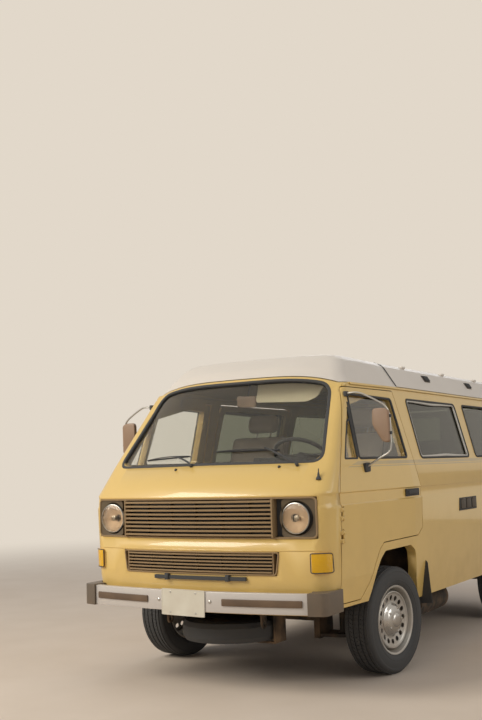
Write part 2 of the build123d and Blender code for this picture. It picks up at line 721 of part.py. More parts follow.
def rear_deck():
    """Raised deck over the engine and the bulkhead in front of it."""
    deck = block((-1000, 1000), (BULKHEAD, 4600), DECK_Z)
    deck += block((-1000, 1000), (BULKHEAD, BULKHEAD + 20), (FLOOR_Z[0], DECK_Z[1]))
    return (deck & CABIN) - housing_zone(AXLES[1])


def wheel_housings():
    """Four inner wheel housings."""
    housings = []
    for axle in AXLES:
        left = wheel_housing(axle) & CABIN
        housings += [left, mirrored(left)]
    return housings


def frame_rails():
    """Two rails under the floor, stepped up behind the bulkhead."""
    rail = block(RAIL_X, (860, 4330), RAIL_Z)
    rail += block(RAIL_X, (BULKHEAD + 20, BULKHEAD + 90), (RAIL_Z[0], 560))
    return [rail, mirrored(rail)]


def engine():
    """Engine as one plain block behind the rear axle."""
    return block((-270, 270), (3700, 4330), (290, DECK_Z[0] - 40))


def exhaust():
    """Silencer across the tail and its tail pipe."""
    drum = rod((-330, 4385, 335), (330, 4385, 335), 55)
    return drum + rod((250, 4385, 335), (250, 4540, 330), 22)


def fuel_tank():
    """Fuel tank under the cabin floor."""
    tank = block((-285, 285), (1240, 1950), (280, FLOOR_Z[0]))
    return fillet(tank.edges().filter_by(Axis.Y), 40)


def gas_tank():
    """Gas bottle tank under the left sill, hung on two straps."""
    tank = rod((660, 1800, 315), (660, 2350, 315), 92)
    for station in (1900, 2230):
        tank += block((640, 680), (station, station + 30), (380, FLOOR_Z[0]))
    return tank


def spare_wheel():
    """Spare wheel lying under the nose, as a plain tyre and a dished disc."""
    place = Pos(0, at(500), 324) * Rot(0, 90, 0)
    ring = Polyline((-55, 190), (-66, 240), (-58, 300), (-30, 316), (30, 316), (58, 300), (66, 240), (55, 190), close=True)
    disc = Polyline((-50, 0), (-42, 0), (-20, 190), (-50, 190), close=True)
    return place * revolve(make_face(ring), Axis.X), place * revolve(make_face(disc), Axis.X)


def spare_cradle():
    """Pressed cradle that holds the spare wheel up against the floor."""
    low, high = 246, 258
    shape = block((-335, 335), (440, 470), (low, high)) + block((-335, 335), (550, 580), (low, high))
    for x in (-335, 325):
        shape += block((x, x + 10), (440, 580), (low, FLOOR_Z[0]))
    return shape + block((-20, 20), (440, 580), (low, high))


def dashboard():
    """Dashboard with its instrument hood and the steering column."""
    outline = (
        (60, 960), (60, 1306), (470, 1330), (640, 1318), (720, 1262), (716, 1130), (640, 1010), (560, 960)
    )
    body = side_prism(outline, 12, x=(-735, 735)) & INNER
    x, station, z = STEERING_CENTRE
    hood = side_prism(((500, 1300), (520, 1372), (640, 1360), (690, 1280)), 12, x=(x - 190, x + 190))
    down = radians(STEERING_TILT)
    foot = (x, station - 330 * sin(down), z - 330 * cos(down))
    neck = (x, station - 45 * sin(down), z - 45 * cos(down))
    tip = (x, station + 14 * sin(down), z + 14 * cos(down))
    return body + hood + rod(foot, neck, 34) + rod(neck, tip, COLUMN_PIN)


def steering_wheel():
    """Two-spoke steering wheel on its column pin."""
    x, station, z = STEERING_CENTRE
    rim_ring = Torus(STEERING_RADIUS, STEERING_GRIP)
    hub = Pos(0, 0, -12) * Cylinder(48, 44)
    spokes = Pos(0, -20, -8) * Box(2 * STEERING_RADIUS - 10, 46, 14)
    wheel = rim_ring + hub + spokes - Pos(0, 0, -14) * Cylinder(COLUMN_PIN + 0.06, 60)
    return Pos(x, at(station), z) * Rot(-STEERING_TILT, 0, 0) * wheel


def seat(x):
    """One front seat: pedestal, cushion, back and headrest."""
    base = block((x - 200, x + 200), (1080, 1480), (HOUSING_TOP, 930))
    cushion = fillet(block((x - 245, x + 245), (1010, 1510), (930, 1060)).edges(), 28)
    back_shape = side_prism(((1410, 1060), (1530, 1060), (1690, 1540), (1600, 1540)), 26, x=(x - 235, x + 235))
    head = side_prism(((1620, 1560), (1700, 1560), (1720, 1700), (1650, 1700)), 20, x=(x - 125, x + 125))
    posts = [rod((x + d, 1650, 1530), (x + d, 1663, 1570), 7) for d in (-60, 60)]
    return base, (cushion + back_shape + head + posts[0] + posts[1]) - base


def rear_bench():
    """Bench seat across the rear of the cabin, its back and the rear mattress."""
    base = block((-450, 440), (2830, 3430), (FLOOR_Z[1], 880))
    cushion = fillet(block((-600, 440), (2790, 3440), (880, 1000)).edges(), 26)
    back = side_prism(((3300, 1000), (3410, 1000), (3440, 1500), (3350, 1500)), 24, x=(-600, 440))
    mattress = fillet(block((-620, 440), (3480, 4270), (DECK_Z[1], 1070)).edges(), 26)
    return base, cushion + back, mattress


def kitchen_unit():
    """Cabinets along the left side: low unit with worktop, tall cupboard behind."""
    low = block((500, 1000), (1780, 3040), (FLOOR_Z[1], 1250))
    low += block((490, 1000), (1770, 3040), (1250, 1276))
    tall = block((500, 1000), (3050, 4180), (DECK_Z[1], 1720)) - block((300, 1000), (0, BULKHEAD + 30), (0, DECK_Z[1]))
    return low & CABIN, tall & CABIN


def service_panel():
    """Black panel with three lids for hook-ups on the left side."""
    zone = side_prism(((2222, 948), (2614, 948), (2614, 1042), (2222, 1042)), 8)
    return (zone & body_form(-5)) - OUTER


def wipers():
    """Two windscreen wipers with their spindles."""
    pieces = []
    for x, tip in ((-120, -560), (610, 150)):
        top = 1322
        foot = (x, 226 + bow(x), top)
        arm = (x + (tip - x) * 0.55, 240 + bow((x + tip) / 2), top + 18)
        end = (tip, 238 + bow(tip), top + 12)
        wiper = rod((x, 300 + bow(x), top - 30), foot, 9) + rod(foot, arm, 6) + rod(arm, end, 6)
        pieces.append(wiper - OUTER)
    return pieces


def plates():
    """Blank number plates, front and rear."""
    front = Pos(-30, at(-2), 534) * Rot(0, 1.0, 0) * Box(305, 3, 152)
    rear = Pos(0, at(4506), 740) * Box(305, 3, 152)
    return front - bowed_strip((-300, 300), 0, 40, (300, 700)), rear - OUTER


def mud_flaps():
    """Rubber flaps behind the front wheels."""
    return both(block((640, 800), (1487, 1493), (250, FLOOR_Z[0])))


def tow_points():
    """Two towing eyes on short brackets under the front bumper."""
    pieces = []
    for x in TOW_EYES:
        bore = Pos(x, at(300), TOW_EYE_Z) * Rot(0, 90, 0)
        bracket = block((x - 6, x + 6), (272, 328), (TOW_EYE_Z, FLOOR_Z[0]))
        pieces.append(bore * Cylinder(28, 12) + bracket - bore * Cylinder(16, 14))
    return pieces


def wheel(axle, side, turned):
    """Tyre and rim of one wheel: side 1 is left, -1 right."""
    place = Pos(HALF_TRACK, at(axle), TYRE_RADIUS)
    pieces = []
    for shape in (tyre(), rim()):
        placed = place * shape
        if turned:
            pieces.append(steered(placed) if side > 0 else steered_right(placed))
        else:
            pieces.append(placed if side > 0 else mirror(placed, Plane.YZ))
    return pieces


def mirrored(shape):
    """Right-hand copy of a left-hand shape."""
    return mirror(shape, Plane.YZ)


def build():
    """Every node by name, each a list of solids that don't touch one another."""
    wall, door, glass, arm = side_wall(), front_door(), door_glass(), mirror_arm()
    left_base, left_seat = seat(400)
    right_base, right_seat = seat(-400)
    bench_base, bench, mattress = rear_bench()
    low_cabinet, tall_cabinet = kitchen_unit()
    spare, spare_disc = spare_wheel()
    nodes = {
        "floor_pan": [floor_pan()],
        "rear_deck": [rear_deck()],
        "wheel_housings": wheel_housings(),
        "frame_rails": frame_rails(),
        "nose_panel": [nose_panel()],
        "side_wall_left": [wall],
        "side_wall_right": [right_side_wall(wall)],
        "rear_frame": [rear_frame()],
        "roof_panel": [roof_panel()],
        "sliding_door": [sliding_door()],
        "windscreen": [GLASS & end_prism(WINDSCREEN, (-100, 1000), 70) & NOSE_ZONE],
        "side_glass": [side_glass()],
        "luggage_tray": [luggage_tray()],
        "tent_canvas": [tent_canvas()],
        "dashboard": [dashboard()],
        "front_seats": [left_seat, right_seat],
        "rear_bench": [bench, mattress],
        "cabinets": [left_base, right_base, bench_base, low_cabinet, tall_cabinet],
        "grilles": list(grilles()),
        "headlamps": [headlamps()],
        "corner_lamps": [corner_lamps()],
        "tail_lamps": [tail_lamps()],
        "bumpers": list(bumpers()),
        "bumper_trim": bumper_trim(),
        "number_plates": list(plates()),
        "wipers": wipers(),
        "service_panel": [service_panel()],
        "engine": [engine()],
        "exhaust": [exhaust()],
        "tanks": [fuel_tank(), gas_tank()],
        "front_axle": [front_axle()],
        "rear_axle": [rear_axle()],
        "spare_tyre": [spare],
        "spare_carrier": [spare_disc, spare_cradle()],
        "mud_flaps": [mud_flaps()],
        "tow_points": tow_points(),
        "door_left": [door],
        "door_right": [mirrored(door)],
        "door_glass_left": [glass],
        "door_glass_right": [mirrored(glass)],
        "mirror_left": [arm],
        "mirror_right": [mirrored(arm)],
        "tailgate": [tailgate()],
        "tailgate_glass": [GLASS & tail_prism(TAILGATE_WINDOW, 50)],
        "pop_top": [pop_top()],
        "steering_wheel": [steering_wheel()],
        "knuckle_left": [steered(knuckle())],
        "knuckle_right": [steered_right(knuckle())],
    }
    for place, axle, turned in (("front", AXLES[0], True), ("rear", AXLES[1], False)):
        for name, side in (("left", 1), ("right", -1)):
            tyre_shape, rim_shape = wheel(axle, side, turned)
            nodes[f"tyre_{place}_{name}"] = [tyre_shape]
            nodes[f"rim_{place}_{name}"] = [rim_shape]
    return nodes


for name, shapes in build().items():
    solids = [solid for shape in shapes for solid in shape.solids()]
    export_step(solids[0] if len(solids) == 1 else Compound(solids), f"parts/{name}.step")
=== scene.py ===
import logging
import math
from collections.abc import Iterable
from dataclasses import dataclass, field
from enum import Enum

import bmesh
import bpy
from mathutils import Matrix, Vector
from mathutils.bvhtree import BVHTree


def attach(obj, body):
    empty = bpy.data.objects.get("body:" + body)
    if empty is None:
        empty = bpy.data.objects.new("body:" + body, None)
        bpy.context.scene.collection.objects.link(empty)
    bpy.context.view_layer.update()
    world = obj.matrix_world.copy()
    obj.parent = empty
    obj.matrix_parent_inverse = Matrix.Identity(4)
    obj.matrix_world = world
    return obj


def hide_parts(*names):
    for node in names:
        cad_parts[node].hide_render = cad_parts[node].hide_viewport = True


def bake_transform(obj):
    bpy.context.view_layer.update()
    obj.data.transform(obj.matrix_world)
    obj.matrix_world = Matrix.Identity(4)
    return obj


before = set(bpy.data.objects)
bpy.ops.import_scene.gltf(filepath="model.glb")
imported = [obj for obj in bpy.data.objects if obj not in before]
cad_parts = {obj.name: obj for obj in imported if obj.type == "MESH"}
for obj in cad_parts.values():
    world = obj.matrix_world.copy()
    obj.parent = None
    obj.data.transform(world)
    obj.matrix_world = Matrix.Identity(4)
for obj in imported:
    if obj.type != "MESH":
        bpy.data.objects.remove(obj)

Node = bpy.types.Node
Tree = bpy.types.NodeTree
Socket = bpy.types.NodeSocket
Piece = bpy.types.Object
Pair = tuple[float, float]
Triple = tuple[float, float, float]
Colour = tuple[float, float, float, float]
Value = Socket | float | tuple
Outline = list[Pair]
Spot = tuple[Vector, Vector]
Faces = list[tuple[int, ...]]

LOG = logging.getLogger("camper_van")
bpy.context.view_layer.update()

# Stations are metres behind the face of the front bumper
FRONT_Y = -2.285
HALF_TRACK = 0.79
TYRE_RADIUS = 0.331
FRONT_AXLE = 1.062
REAR_AXLE = 3.523
KINGPIN_X = 0.7
REST_STEER = math.radians(-8.0)
FRONT_BOW = 3.6
SHARP_ANGLE = math.radians(38.0)
# Distance from the middle at which the bumper's end caps start
CAP_START = 0.746


def at(station: float) -> float:
    """Y of a station behind the front bumper's face."""
    return FRONT_Y + station


def bow(x: float, radius: float = FRONT_BOW) -> float:
    """How far the bowed nose falls back at a distance from the middle."""
    return radius - math.sqrt(radius * radius - x * x)


def channel(value: int) -> float:
    """One screen value as linear light."""
    part = value / 255.0
    return part / 12.92 if part <= 0.04045 else ((part + 0.055) / 1.055) ** 2.4


def linear(red: int, green: int, blue: int) -> Colour:
    """Colour for a shader from its three screen values."""
    return channel(red), channel(green), channel(blue), 1.0


class Side(Enum):
    """The two sides of the van, with the sign of their X."""

    LEFT = 1
    RIGHT = -1

    @property
    def word(self) -> str:
        """Name of the side in piece names."""
        return self.name.lower()


# Shader node groups


class NodeKit:
    """Adds nodes and links to a shader or geometry tree."""

    def __init__(self, tree: Tree) -> None:
        """Start with an empty tree."""
        self.tree = tree
        tree.nodes.clear()

    def add(self, kind: str, inputs: dict | None = None, **settings) -> Node:
        """Add one node.

        Args:
            kind: Blender's type name of the node.
            inputs: values or sockets for its inputs, by name or number.
            settings: attributes of the node.

        Returns:
            The new node.
        """
        node = self.tree.nodes.new(kind)
        for key, value in settings.items():
            setattr(node, key, value)
        for key, value in (inputs or {}).items():
            socket = node.inputs[key]
            if isinstance(value, Socket):
                self.tree.links.new(value, socket)
            else:
                socket.default_value = value
        return node

    def math(self, operation: str, first: Value, second: Value = 0.0, clamp: bool = False) -> Socket:
        """Result of one Math node."""
        node = self.add("ShaderNodeMath", {0: first, 1: second}, operation=operation, use_clamp=clamp)
        return node.outputs[0]

    def times(self, first: Value, second: Value, clamp: bool = False) -> Socket:
        """Product of two values."""
        return self.math("MULTIPLY", first, second, clamp)

    def split(self, vector: Socket) -> list[Socket]:
        """X, Y and Z of a vector."""
        return self.add("ShaderNodeSeparateXYZ", {0: vector}).outputs

    def mix(self, factor: Value, first: Value, second: Value) -> Socket:
        """Mix of two colours by a factor."""
        node = self.add("ShaderNodeMix", {0: factor, 6: first, 7: second}, data_type="RGBA")
        return node.outputs[2]


def new_group(
    name: str, inputs: dict[str, tuple[str, float | None]], outputs: dict[str, str],
) -> tuple[NodeKit, Node, Node]:
    """Empty shader group with named sockets.

    Args:
        name: name of the group.
        inputs: socket kind and default by socket name.
        outputs: socket kind by socket name.
    """
    tree = bpy.data.node_groups.new(name, "ShaderNodeTree")
    kinds = {"float": "NodeSocketFloat", "colour": "NodeSocketColor", "vector": "NodeSocketVector"}
    for label, (kind, default) in inputs.items():
        socket = tree.interface.new_socket(label, in_out="INPUT", socket_type=kinds[kind])
        if default is not None:
            socket.default_value = default
    for label, kind in outputs.items():
        tree.interface.new_socket(label, in_out="OUTPUT", socket_type=kinds[kind])
    kit = NodeKit(tree)
    return kit, kit.add("NodeGroupInput"), kit.add("NodeGroupOutput")


def grime_group() -> Tree:
    """Dust that thickens towards the road, in soft patches.

    Returns:
        The group, with a Mask output.
    """
    kit, enter, leave = new_group(
        "road_grime", {"Place": ("vector", None), "Amount": ("float", 0.3), "Patch": ("float", 7.0)}, {"Mask": "float"}
    )
    height = kit.split(enter.outputs["Place"])[2]
    low = kit.add("ShaderNodeMapRange", {0: height, 1: 0.15, 2: 1.05, 3: 1.0, 4: 0.18})
    noise = kit.add(
        "ShaderNodeTexNoise", {"Vector": enter.outputs["Place"], "Scale": enter.outputs["Patch"], "Detail": 5.0}
    )
    patches = kit.add("ShaderNodeMapRange", {0: noise.outputs["Fac"], 1: 0.38, 2: 0.72})
    mask = kit.times(kit.times(low.outputs[0], patches.outputs[0]), enter.outputs["Amount"], True)
    kit.tree.links.new(mask, leave.inputs["Mask"])
    return kit.tree


def grain_group() -> Tree:
    """Fine grain and slow mottle of a moulded or sprayed surface.

    Returns:
        The group, with Grain and Mottle outputs.
    """
    kit, enter, leave = new_group(
        "surface_grain",
        {"Place": ("vector", None), "Scale": ("float", 300.0), "Mottle Scale": ("float", 3.0)},
        {"Grain": "float", "Mottle": "float"},
    )
    fine = kit.add(
        "ShaderNodeTexNoise", {"Vector": enter.outputs["Place"], "Scale": enter.outputs["Scale"], "Detail": 3.0}
    )
    slow = kit.add(
        "ShaderNodeTexNoise", {"Vector": enter.outputs["Place"], "Scale": enter.outputs["Mottle Scale"], "Detail": 4.0}
    )
    kit.tree.links.new(fine.outputs["Fac"], leave.inputs["Grain"])
    kit.tree.links.new(slow.outputs["Fac"], leave.inputs["Mottle"])
    return kit.tree


def weave_group() -> Tree:
    """Plain weave of threads that cross.

    Returns:
        The group, with a Height output.
    """
    kit, enter, leave = new_group(
        "plain_weave", {"Place": ("vector", None), "Threads": ("float", 900.0)}, {"Height": "float"}
    )
    places = kit.split(enter.outputs["Place"])
    waves = [kit.math("SINE", kit.times(place, enter.outputs["Threads"])) for place in places]
    height = kit.math("ADD", kit.times(waves[0], waves[1]), kit.times(waves[1], waves[2]))
    kit.tree.links.new(height, leave.inputs["Height"])
    return kit.tree


GROUPS = {"grime": grime_group(), "grain": grain_group(), "weave": weave_group()}


# Finishes


@dataclass(frozen=True)
class Look:
    """Plain material that the scene has already, under this name."""

    name: str

    def material(self) -> bpy.types.Material:
        """The frame's own material of this name."""
        return bpy.data.materials[self.name]


@dataclass(frozen=True)
class Finish(Look):
    """One finish: a principled surface with grain, mottle and grime."""

    slot: str
    colour: Colour
    roughness: float
    metallic: float
    coat: float
    grain_scale: float
    grain_height: float
    mottle: float
    grime: float
    grime_colour: Colour = linear(150, 122, 92)

    def surface(self, kit: NodeKit, place: Socket) -> dict:
        """Colour, roughness and normal of this finish.

        Args:
            kit: the material's tree.
            place: Object coordinates.

        Returns:
            Inputs for the Principled shader.
        """
        grain = self.group(kit, "grain", {"Place": place, "Scale": self.grain_scale})
        grime = self.group(kit, "grime", {"Place": place, "Amount": self.grime})
        colour = kit.mix(grain.outputs["Mottle"], self.dark(), self.base(kit, place))
        colour = kit.mix(grime.outputs["Mask"], colour, self.grime_colour)
        dull = kit.math("MULTIPLY_ADD", grime.outputs["Mask"], 0.9 - self.roughness)
        dull.node.inputs[2].default_value = self.roughness
        bump = kit.add(
            "ShaderNodeBump", {"Height": grain.outputs["Grain"], "Distance": self.grain_height, "Strength": 0.6}
        )
        return {"Base Color": colour, "Roughness": dull, "Normal": bump.outputs[0]}

    def base(self, kit: NodeKit, place: Socket) -> Value:
        """Colour before mottle and grime."""
        return self.colour

    def dark(self) -> Colour:
        """Colour in the depth of the mottle."""
        return *(part * (1.0 - self.mottle) for part in self.colour[:3]), 1.0

    def group(self, kit: NodeKit, name: str, inputs: dict) -> Node:
        """Place one shared group in the material."""
        return kit.add("ShaderNodeGroup", inputs, node_tree=GROUPS[name])

    def constants(self) -> dict:
        """Plain numbers set on the shader's own sockets."""
        return {"Metallic": self.metallic, "Coat Weight": self.coat, "Coat Roughness": 0.06}

    def material(self) -> bpy.types.Material:
        """The material, built once.

        Returns:
            Blender's material of this finish.
        """
        found = bpy.data.materials.get(self.name)
        if found:
            return found
        made = bpy.data.materials.new(self.name)
        made.use_nodes = True
        kit = NodeKit(made.node_tree)
        place = kit.add("ShaderNodeTexCoord").outputs["Object"]
        inputs = {**self.surface(kit, place), **self.constants()}
        shader = kit.add("ShaderNodeBsdfPrincipled", inputs)
        kit.add("ShaderNodeOutputMaterial", {"Surface": shader.outputs[0]})
        made.diffuse_color = self.colour
        return made


@dataclass(frozen=True)
class BodyPaint(Finish):
    """Gloss paint with a painted highlight in two grey lines along the belt crease, and lined inner faces."""

    lining: Colour = linear(150, 138, 112)
    line_colour: Colour = linear(150, 146, 132)
    lines: tuple[Pair, ...] = ((1.296, 1.303), (1.309, 1.331))
    line_from: float = 0.845
    end_half: float = 0.8
    roof_from: float = 1.79

    def base(self, kit: NodeKit, place: Socket) -> Value:
        """Paint, the painted highlight lines along the belt crease and the lining of inner faces.

        Args:
            kit: the material's tree.
            place: Object coordinates.

        Returns:
            The colour socket.
        """
        spot = kit.split(place)
        facing = kit.split(kit.add("ShaderNodeNewGeometry").outputs["Normal"])
        across, height = kit.math("ABSOLUTE", spot[0]), spot[2]
        band = None
        # Painted highlight: two grey lines on the flanks where the belt crease catches the light.
        for low, high in self.lines:
            inside = kit.times(kit.math("GREATER_THAN", height, low), kit.math("LESS_THAN", height, high))
            band = inside if band is None else kit.math("ADD", band, inside, True)
        band = kit.times(band, kit.math("GREATER_THAN", across, self.line_from))
        outward = kit.times(facing[0], kit.math("SIGN", spot[0]))
        inner = kit.math("LESS_THAN", outward, -0.5)
        ahead = kit.times(facing[1], kit.math("SIGN", spot[1]))
        end = kit.times(kit.math("LESS_THAN", ahead, -0.5), kit.math("LESS_THAN", across, self.end_half))
        high = kit.math("GREATER_THAN", height, self.roof_from)
        below = kit.times(kit.math("LESS_THAN", facing[2], -0.5), high)
        lined = kit.math("ADD", kit.math("ADD", inner, end, True), below, True)
        colour = kit.mix(band, self.colour, self.line_colour)
        return kit.mix(lined, colour, self.lining)


@dataclass(frozen=True)
class Glass(Finish):
    """Clear or tinted pane, or a lens with upright (above zero) or level (below zero) flutes."""

    flutes: float = 0.0
    see_through: float = 1.0

    def surface(self, kit: NodeKit, place: Socket) -> dict:
        """Colour and the flutes of a lens.

        Args:
            kit: the material's tree.
            place: Object coordinates.

        Returns:
            Inputs for the Principled shader.
        """
        grain = self.group(kit, "grain", {"Place": place, "Scale": self.grain_scale})
        inputs = {"Base Color": kit.mix(grain.outputs["Mottle"], self.dark(), self.colour)}
        if self.flutes:
            along = kit.split(place)[0 if self.flutes > 0 else 2]
            wave = kit.math("SINE", kit.times(along, abs(self.flutes)))
            bump = kit.add("ShaderNodeBump", {"Height": wave, "Distance": 0.001, "Strength": 0.5})
            inputs["Normal"] = bump.outputs[0]
        return inputs

    def constants(self) -> dict:
        """Plain numbers of a pane.

        Returns:
            Inputs for the Principled shader.
        """
        return {
            "Metallic": 0.0, "Roughness": self.roughness, "Transmission Weight": self.see_through, "IOR": 1.45,
            "Coat Weight": self.coat,
        }


@dataclass(frozen=True)
class TailLens(Glass):
    """Rear lamp in red, clear and amber bands."""

    amber: Colour = linear(236, 140, 8)
    amber_from: float = 0.972
    clear: Colour = linear(224, 220, 210)
    clear_to: float = 0.846

    def surface(self, kit: NodeKit, place: Socket) -> dict:
        """Bands by height over the plain lens.

        Args:
            kit: the material's tree.
            place: Object coordinates.

        Returns:
            Inputs for the Principled shader.
        """
        inputs = Glass.surface(self, kit, place)
        height = kit.split(place)[2]
        top = kit.math("GREATER_THAN", height, self.amber_from)
        low = kit.math("LESS_THAN", height, self.clear_to)
        colour = kit.mix(top, inputs["Base Color"], self.amber)
        inputs["Base Color"] = kit.mix(low, colour, self.clear)
        return inputs


@dataclass(frozen=True)
class Cloth(Finish):
    """Woven cover with a soft sheen."""

    threads: float = 1000.0

    def surface(self, kit: NodeKit, place: Socket) -> dict:
        """Weave on top of the plain finish.

        Args:
            kit: the material's tree.
            place: Object coordinates.

        Returns:
            Inputs for the Principled shader.
        """
        inputs = Finish.surface(self, kit, place)
        weave = self.group(kit, "weave", {"Place": place, "Threads": self.threads})
        bump = kit.add("ShaderNodeBump", {"Height": weave.outputs["Height"], "Distance": 0.0006, "Strength": 0.7})
        inputs["Normal"] = bump.outputs[0]
        return inputs

    def constants(self) -> dict:
        """Plain numbers set on the shader's own sockets."""
        return {"Metallic": 0.0, "Sheen Weight": 0.35, "Sheen Roughness": 0.5}


@dataclass(frozen=True)
class Board(Finish):
    """Wood-grained laminate of the cupboards."""

    grain_colour: Colour = linear(96, 66, 40)

    def base(self, kit: NodeKit, place: Socket) -> Value:
        """Stretched grain lines.

        Args:
            kit: the material's tree.
            place: Object coordinates.

        Returns:
            The colour socket.
        """
        stretched = kit.add("ShaderNodeMapping", {"Vector": place, "Scale": (60.0, 4.0, 60.0)})
        noise = kit.add("ShaderNodeTexNoise", {"Vector": stretched.outputs[0], "Scale": 1.0, "Detail": 6.0})
        lines = kit.add("ShaderNodeMapRange", {0: noise.outputs["Fac"], 1: 0.35, 2: 0.65})
        return kit.mix(lines.outputs[0], self.grain_colour, self.colour)


# Each: name, slot, colour, roughness, metallic, coat, grain scale and height, mottle, grime
PAINT = BodyPaint("yellow_body_paint", "yellow_paint", linear(226, 191, 112), 0.34, 0.0, 0.55, 500.0, 8e-5, 0.06, 0.2)
NOSE_TRIM = Finish("tan_grille_plastic", "grey_plastic", linear(150, 124, 88), 0.42, 0.0, 0.0, 420.0, 2e-4, 0.14, 0.35)
ROOF_WHITE = Finish(
    "white_roof_moulding", "white_moulding", linear(226, 217, 205), 0.42, 0.0, 0.15, 220.0, 0.0003, 0.07, 0.1,
)
PANE = Glass("window_glass", "glass", linear(247, 248, 244), 0.02, 0.0, 0.0, 4.0, 0.0, 0.05, 0.0)
TINTED = Glass("tinted_glass", "glass", linear(120, 126, 112), 0.03, 0.0, 0.0, 4.0, 0.0, 0.08, 0.0)
LAMP_GLASS = Glass("headlamp_lens", "glass", linear(244, 236, 224), 0.1, 0.0, 0.0, 4.0, 0.0, 0.03, 0.0, flutes=620.0)
AMBER = Glass(
    "amber_lens", "amber", linear(248, 190, 18), 0.2, 0.0, 0.3, 30.0, 0.0, 0.1, 0.0, flutes=-900.0, see_through=0.12,
)
SMOKED = Look("black_plastic")
GREY_PLASTIC = Finish("grey_cap_plastic", "grey_plastic", linear(74, 66, 56), 0.5, 0.0, 0.0, 500.0, 0.0004, 0.2, 0.45)
BUMPER = Look("bumper_steel")
BRIGHT = Finish("bright_metal", "wheel_steel", linear(196, 194, 188), 0.28, 0.9, 0.0, 400.0, 0.0002, 0.12, 0.2)
MIRRORED = Finish("mirror_silver", "wheel_steel", linear(232, 234, 236), 0.04, 1.0, 0.0, 40.0, 0.0, 0.02, 0.0)
WHEEL = Finish("silver_wheel_paint", "wheel_steel", linear(190, 188, 182), 0.36, 0.55, 0.1, 400.0, 0.0003, 0.14, 0.5)
# Silver bowl tinted warm: a painted reflection of the pale warm ground.
LAMP_BOWL = Finish("lamp_bowl_silver", "wheel_steel", linear(250, 230, 206), 0.5, 0.15, 0.0, 60.0, 0.0, 0.03, 0.0)
HUB = Finish("hub_cap_chrome", "wheel_steel", linear(200, 200, 198), 0.14, 1.0, 0.0, 90.0, 0.0002, 0.1, 0.3)
UNDER = Finish("underseal", "dark_steel", linear(46, 40, 34), 0.8, 0.0, 0.0, 90.0, 0.0012, 0.3, 0.8)
IRON = Finish("cast_iron", "cast", linear(70, 64, 58), 0.75, 0.3, 0.0, 140.0, 0.001, 0.3, 0.8)
TYRE = Look("tyre_rubber")
RUBBER = Look("black_rubber")
SEAT = Look("seat_cloth")
CANVAS = Cloth("tent_canvas", "canvas", linear(150, 130, 96), 0.85, 0.0, 0.0, 40.0, 0.0006, 0.15, 0.05)
# Visor vinyl made paler than its own tone: painted light that offsets the shade of the glass and header.
VISOR = Finish("visor_vinyl", "grey_plastic", linear(248, 236, 204), 0.7, 0.0, 0.0, 500.0, 0.0004, 0.08, 0.0)
LINING = Finish("cabin_lining", "grey_plastic", linear(150, 138, 112), 0.75, 0.0, 0.0, 400.0, 0.0005, 0.1, 0.0)
LAMINATE = Board("wood_laminate", "wood_board", linear(140, 104, 68), 0.5, 0.0, 0.1, 200.0, 0.0002, 0.08, 0.0)
PLATE = Finish("plate_enamel", "plate_white", linear(222, 216, 198), 0.4, 0.0, 0.2, 300.0, 0.0002, 0.08, 0.35)
MIRROR_SHELL = Finish("mirror_housing", "mirror_black", linear(156, 128, 104), 0.5, 0.0, 0.1, 500.0, 0.0002, 0.15, 0.15)

STRIP = Finish("bumper_strip_rubber", "black_rubber", linear(98, 78, 60), 0.6, 0.0, 0.0, 360.0, 0.0004, 0.2, 0.4)
CAP = Finish("bumper_cap_moulding", "black_rubber", linear(104, 92, 78), 0.5, 0.0, 0.1, 360.0, 0.0004, 0.2, 0.35)
BEZEL = Finish("lamp_surround", "grey_plastic", linear(96, 82, 60), 0.38, 0.0, 0.1, 420.0, 0.0002, 0.14, 0.3)
PIPING = Finish("seat_piping", "seat_cloth", linear(82, 68, 52), 0.6, 0.0, 0.0, 600.0, 0.0002, 0.1, 0.0)
TAIL = TailLens(
    "tail_lamp_lens", "red_lens", linear(176, 22, 18), 0.16, 0.0, 0.3, 30.0, 0.0, 0.12, 0.0,
    flutes=-900.0, see_through=0.3,
)


# Meshes


@dataclass
class Shape:
    """Points and faces of a mesh in the making."""

    verts: list[Vector] = field(default_factory=list)
    faces: Faces = field(default_factory=list)

    def join(self, *others: "Shape") -> "Shape":
        """Take in other shapes.

        Args:
            others: shapes in the same frame.

        Returns:
            This shape.
        """
        for other in others:
            start = len(self.verts)
            self.verts.extend(other.verts)
            self.faces.extend(tuple(start + i for i in face) for face in other.faces)
        return self

    def moved(self, matrix: Matrix) -> "Shape":
        """Copy of the shape in another place."""
        return Shape([matrix @ v for v in self.verts], list(self.faces))

    def mirrored(self) -> "Shape":
        """Copy on the other side of the van."""
        return Shape([Vector((-v.x, v.y, v.z)) for v in self.verts], [tuple(reversed(f)) for f in self.faces])

    def on(self, side: Side) -> "Shape":
        """This left-hand shape on either side."""
        return self if side is Side.LEFT else self.mirrored()

    def object(self, name: str, finish: Look, smooth: bool = True) -> Piece:
        """Object of this shape with its finish.

        Args:
            name: name of the piece.
            finish: what its faces look like.
            smooth: shade smooth below the sharp angle.

        Returns:
            The object, linked to the scene.
        """
        mesh = bpy.data.meshes.new(name)
        work = bmesh.new()
        points = [work.verts.new(v) for v in self.verts]
        for face in self.faces:
            if len(set(face)) > 2:
                try:
                    work.faces.new([points[i] for i in face])
                except ValueError:
                    continue
        bmesh.ops.remove_doubles(work, verts=work.verts, dist=1e-5)
        bmesh.ops.recalc_face_normals(work, faces=work.faces)
        work.to_mesh(mesh)
        work.free()
        mesh.materials.append(finish.material())
        if smooth:
            soften(mesh)
        return linked(name, mesh)

    def fit(self, name: str, finish: Look, body: str = "body", *replaced: str) -> Piece:
        """Object of this shape, settled on its body."""
        return settle(self.object(name, finish), body, *replaced)


def linked(name: str, data: bpy.types.ID) -> Piece:
    """New object in the scene.

    Args:
        name: name of the object.
        data: its mesh, camera or lamp.

    Returns:
        The object, at the origin.
    """
    made = bpy.data.objects.new(name, data)
    bpy.context.scene.collection.objects.link(made)
    return made


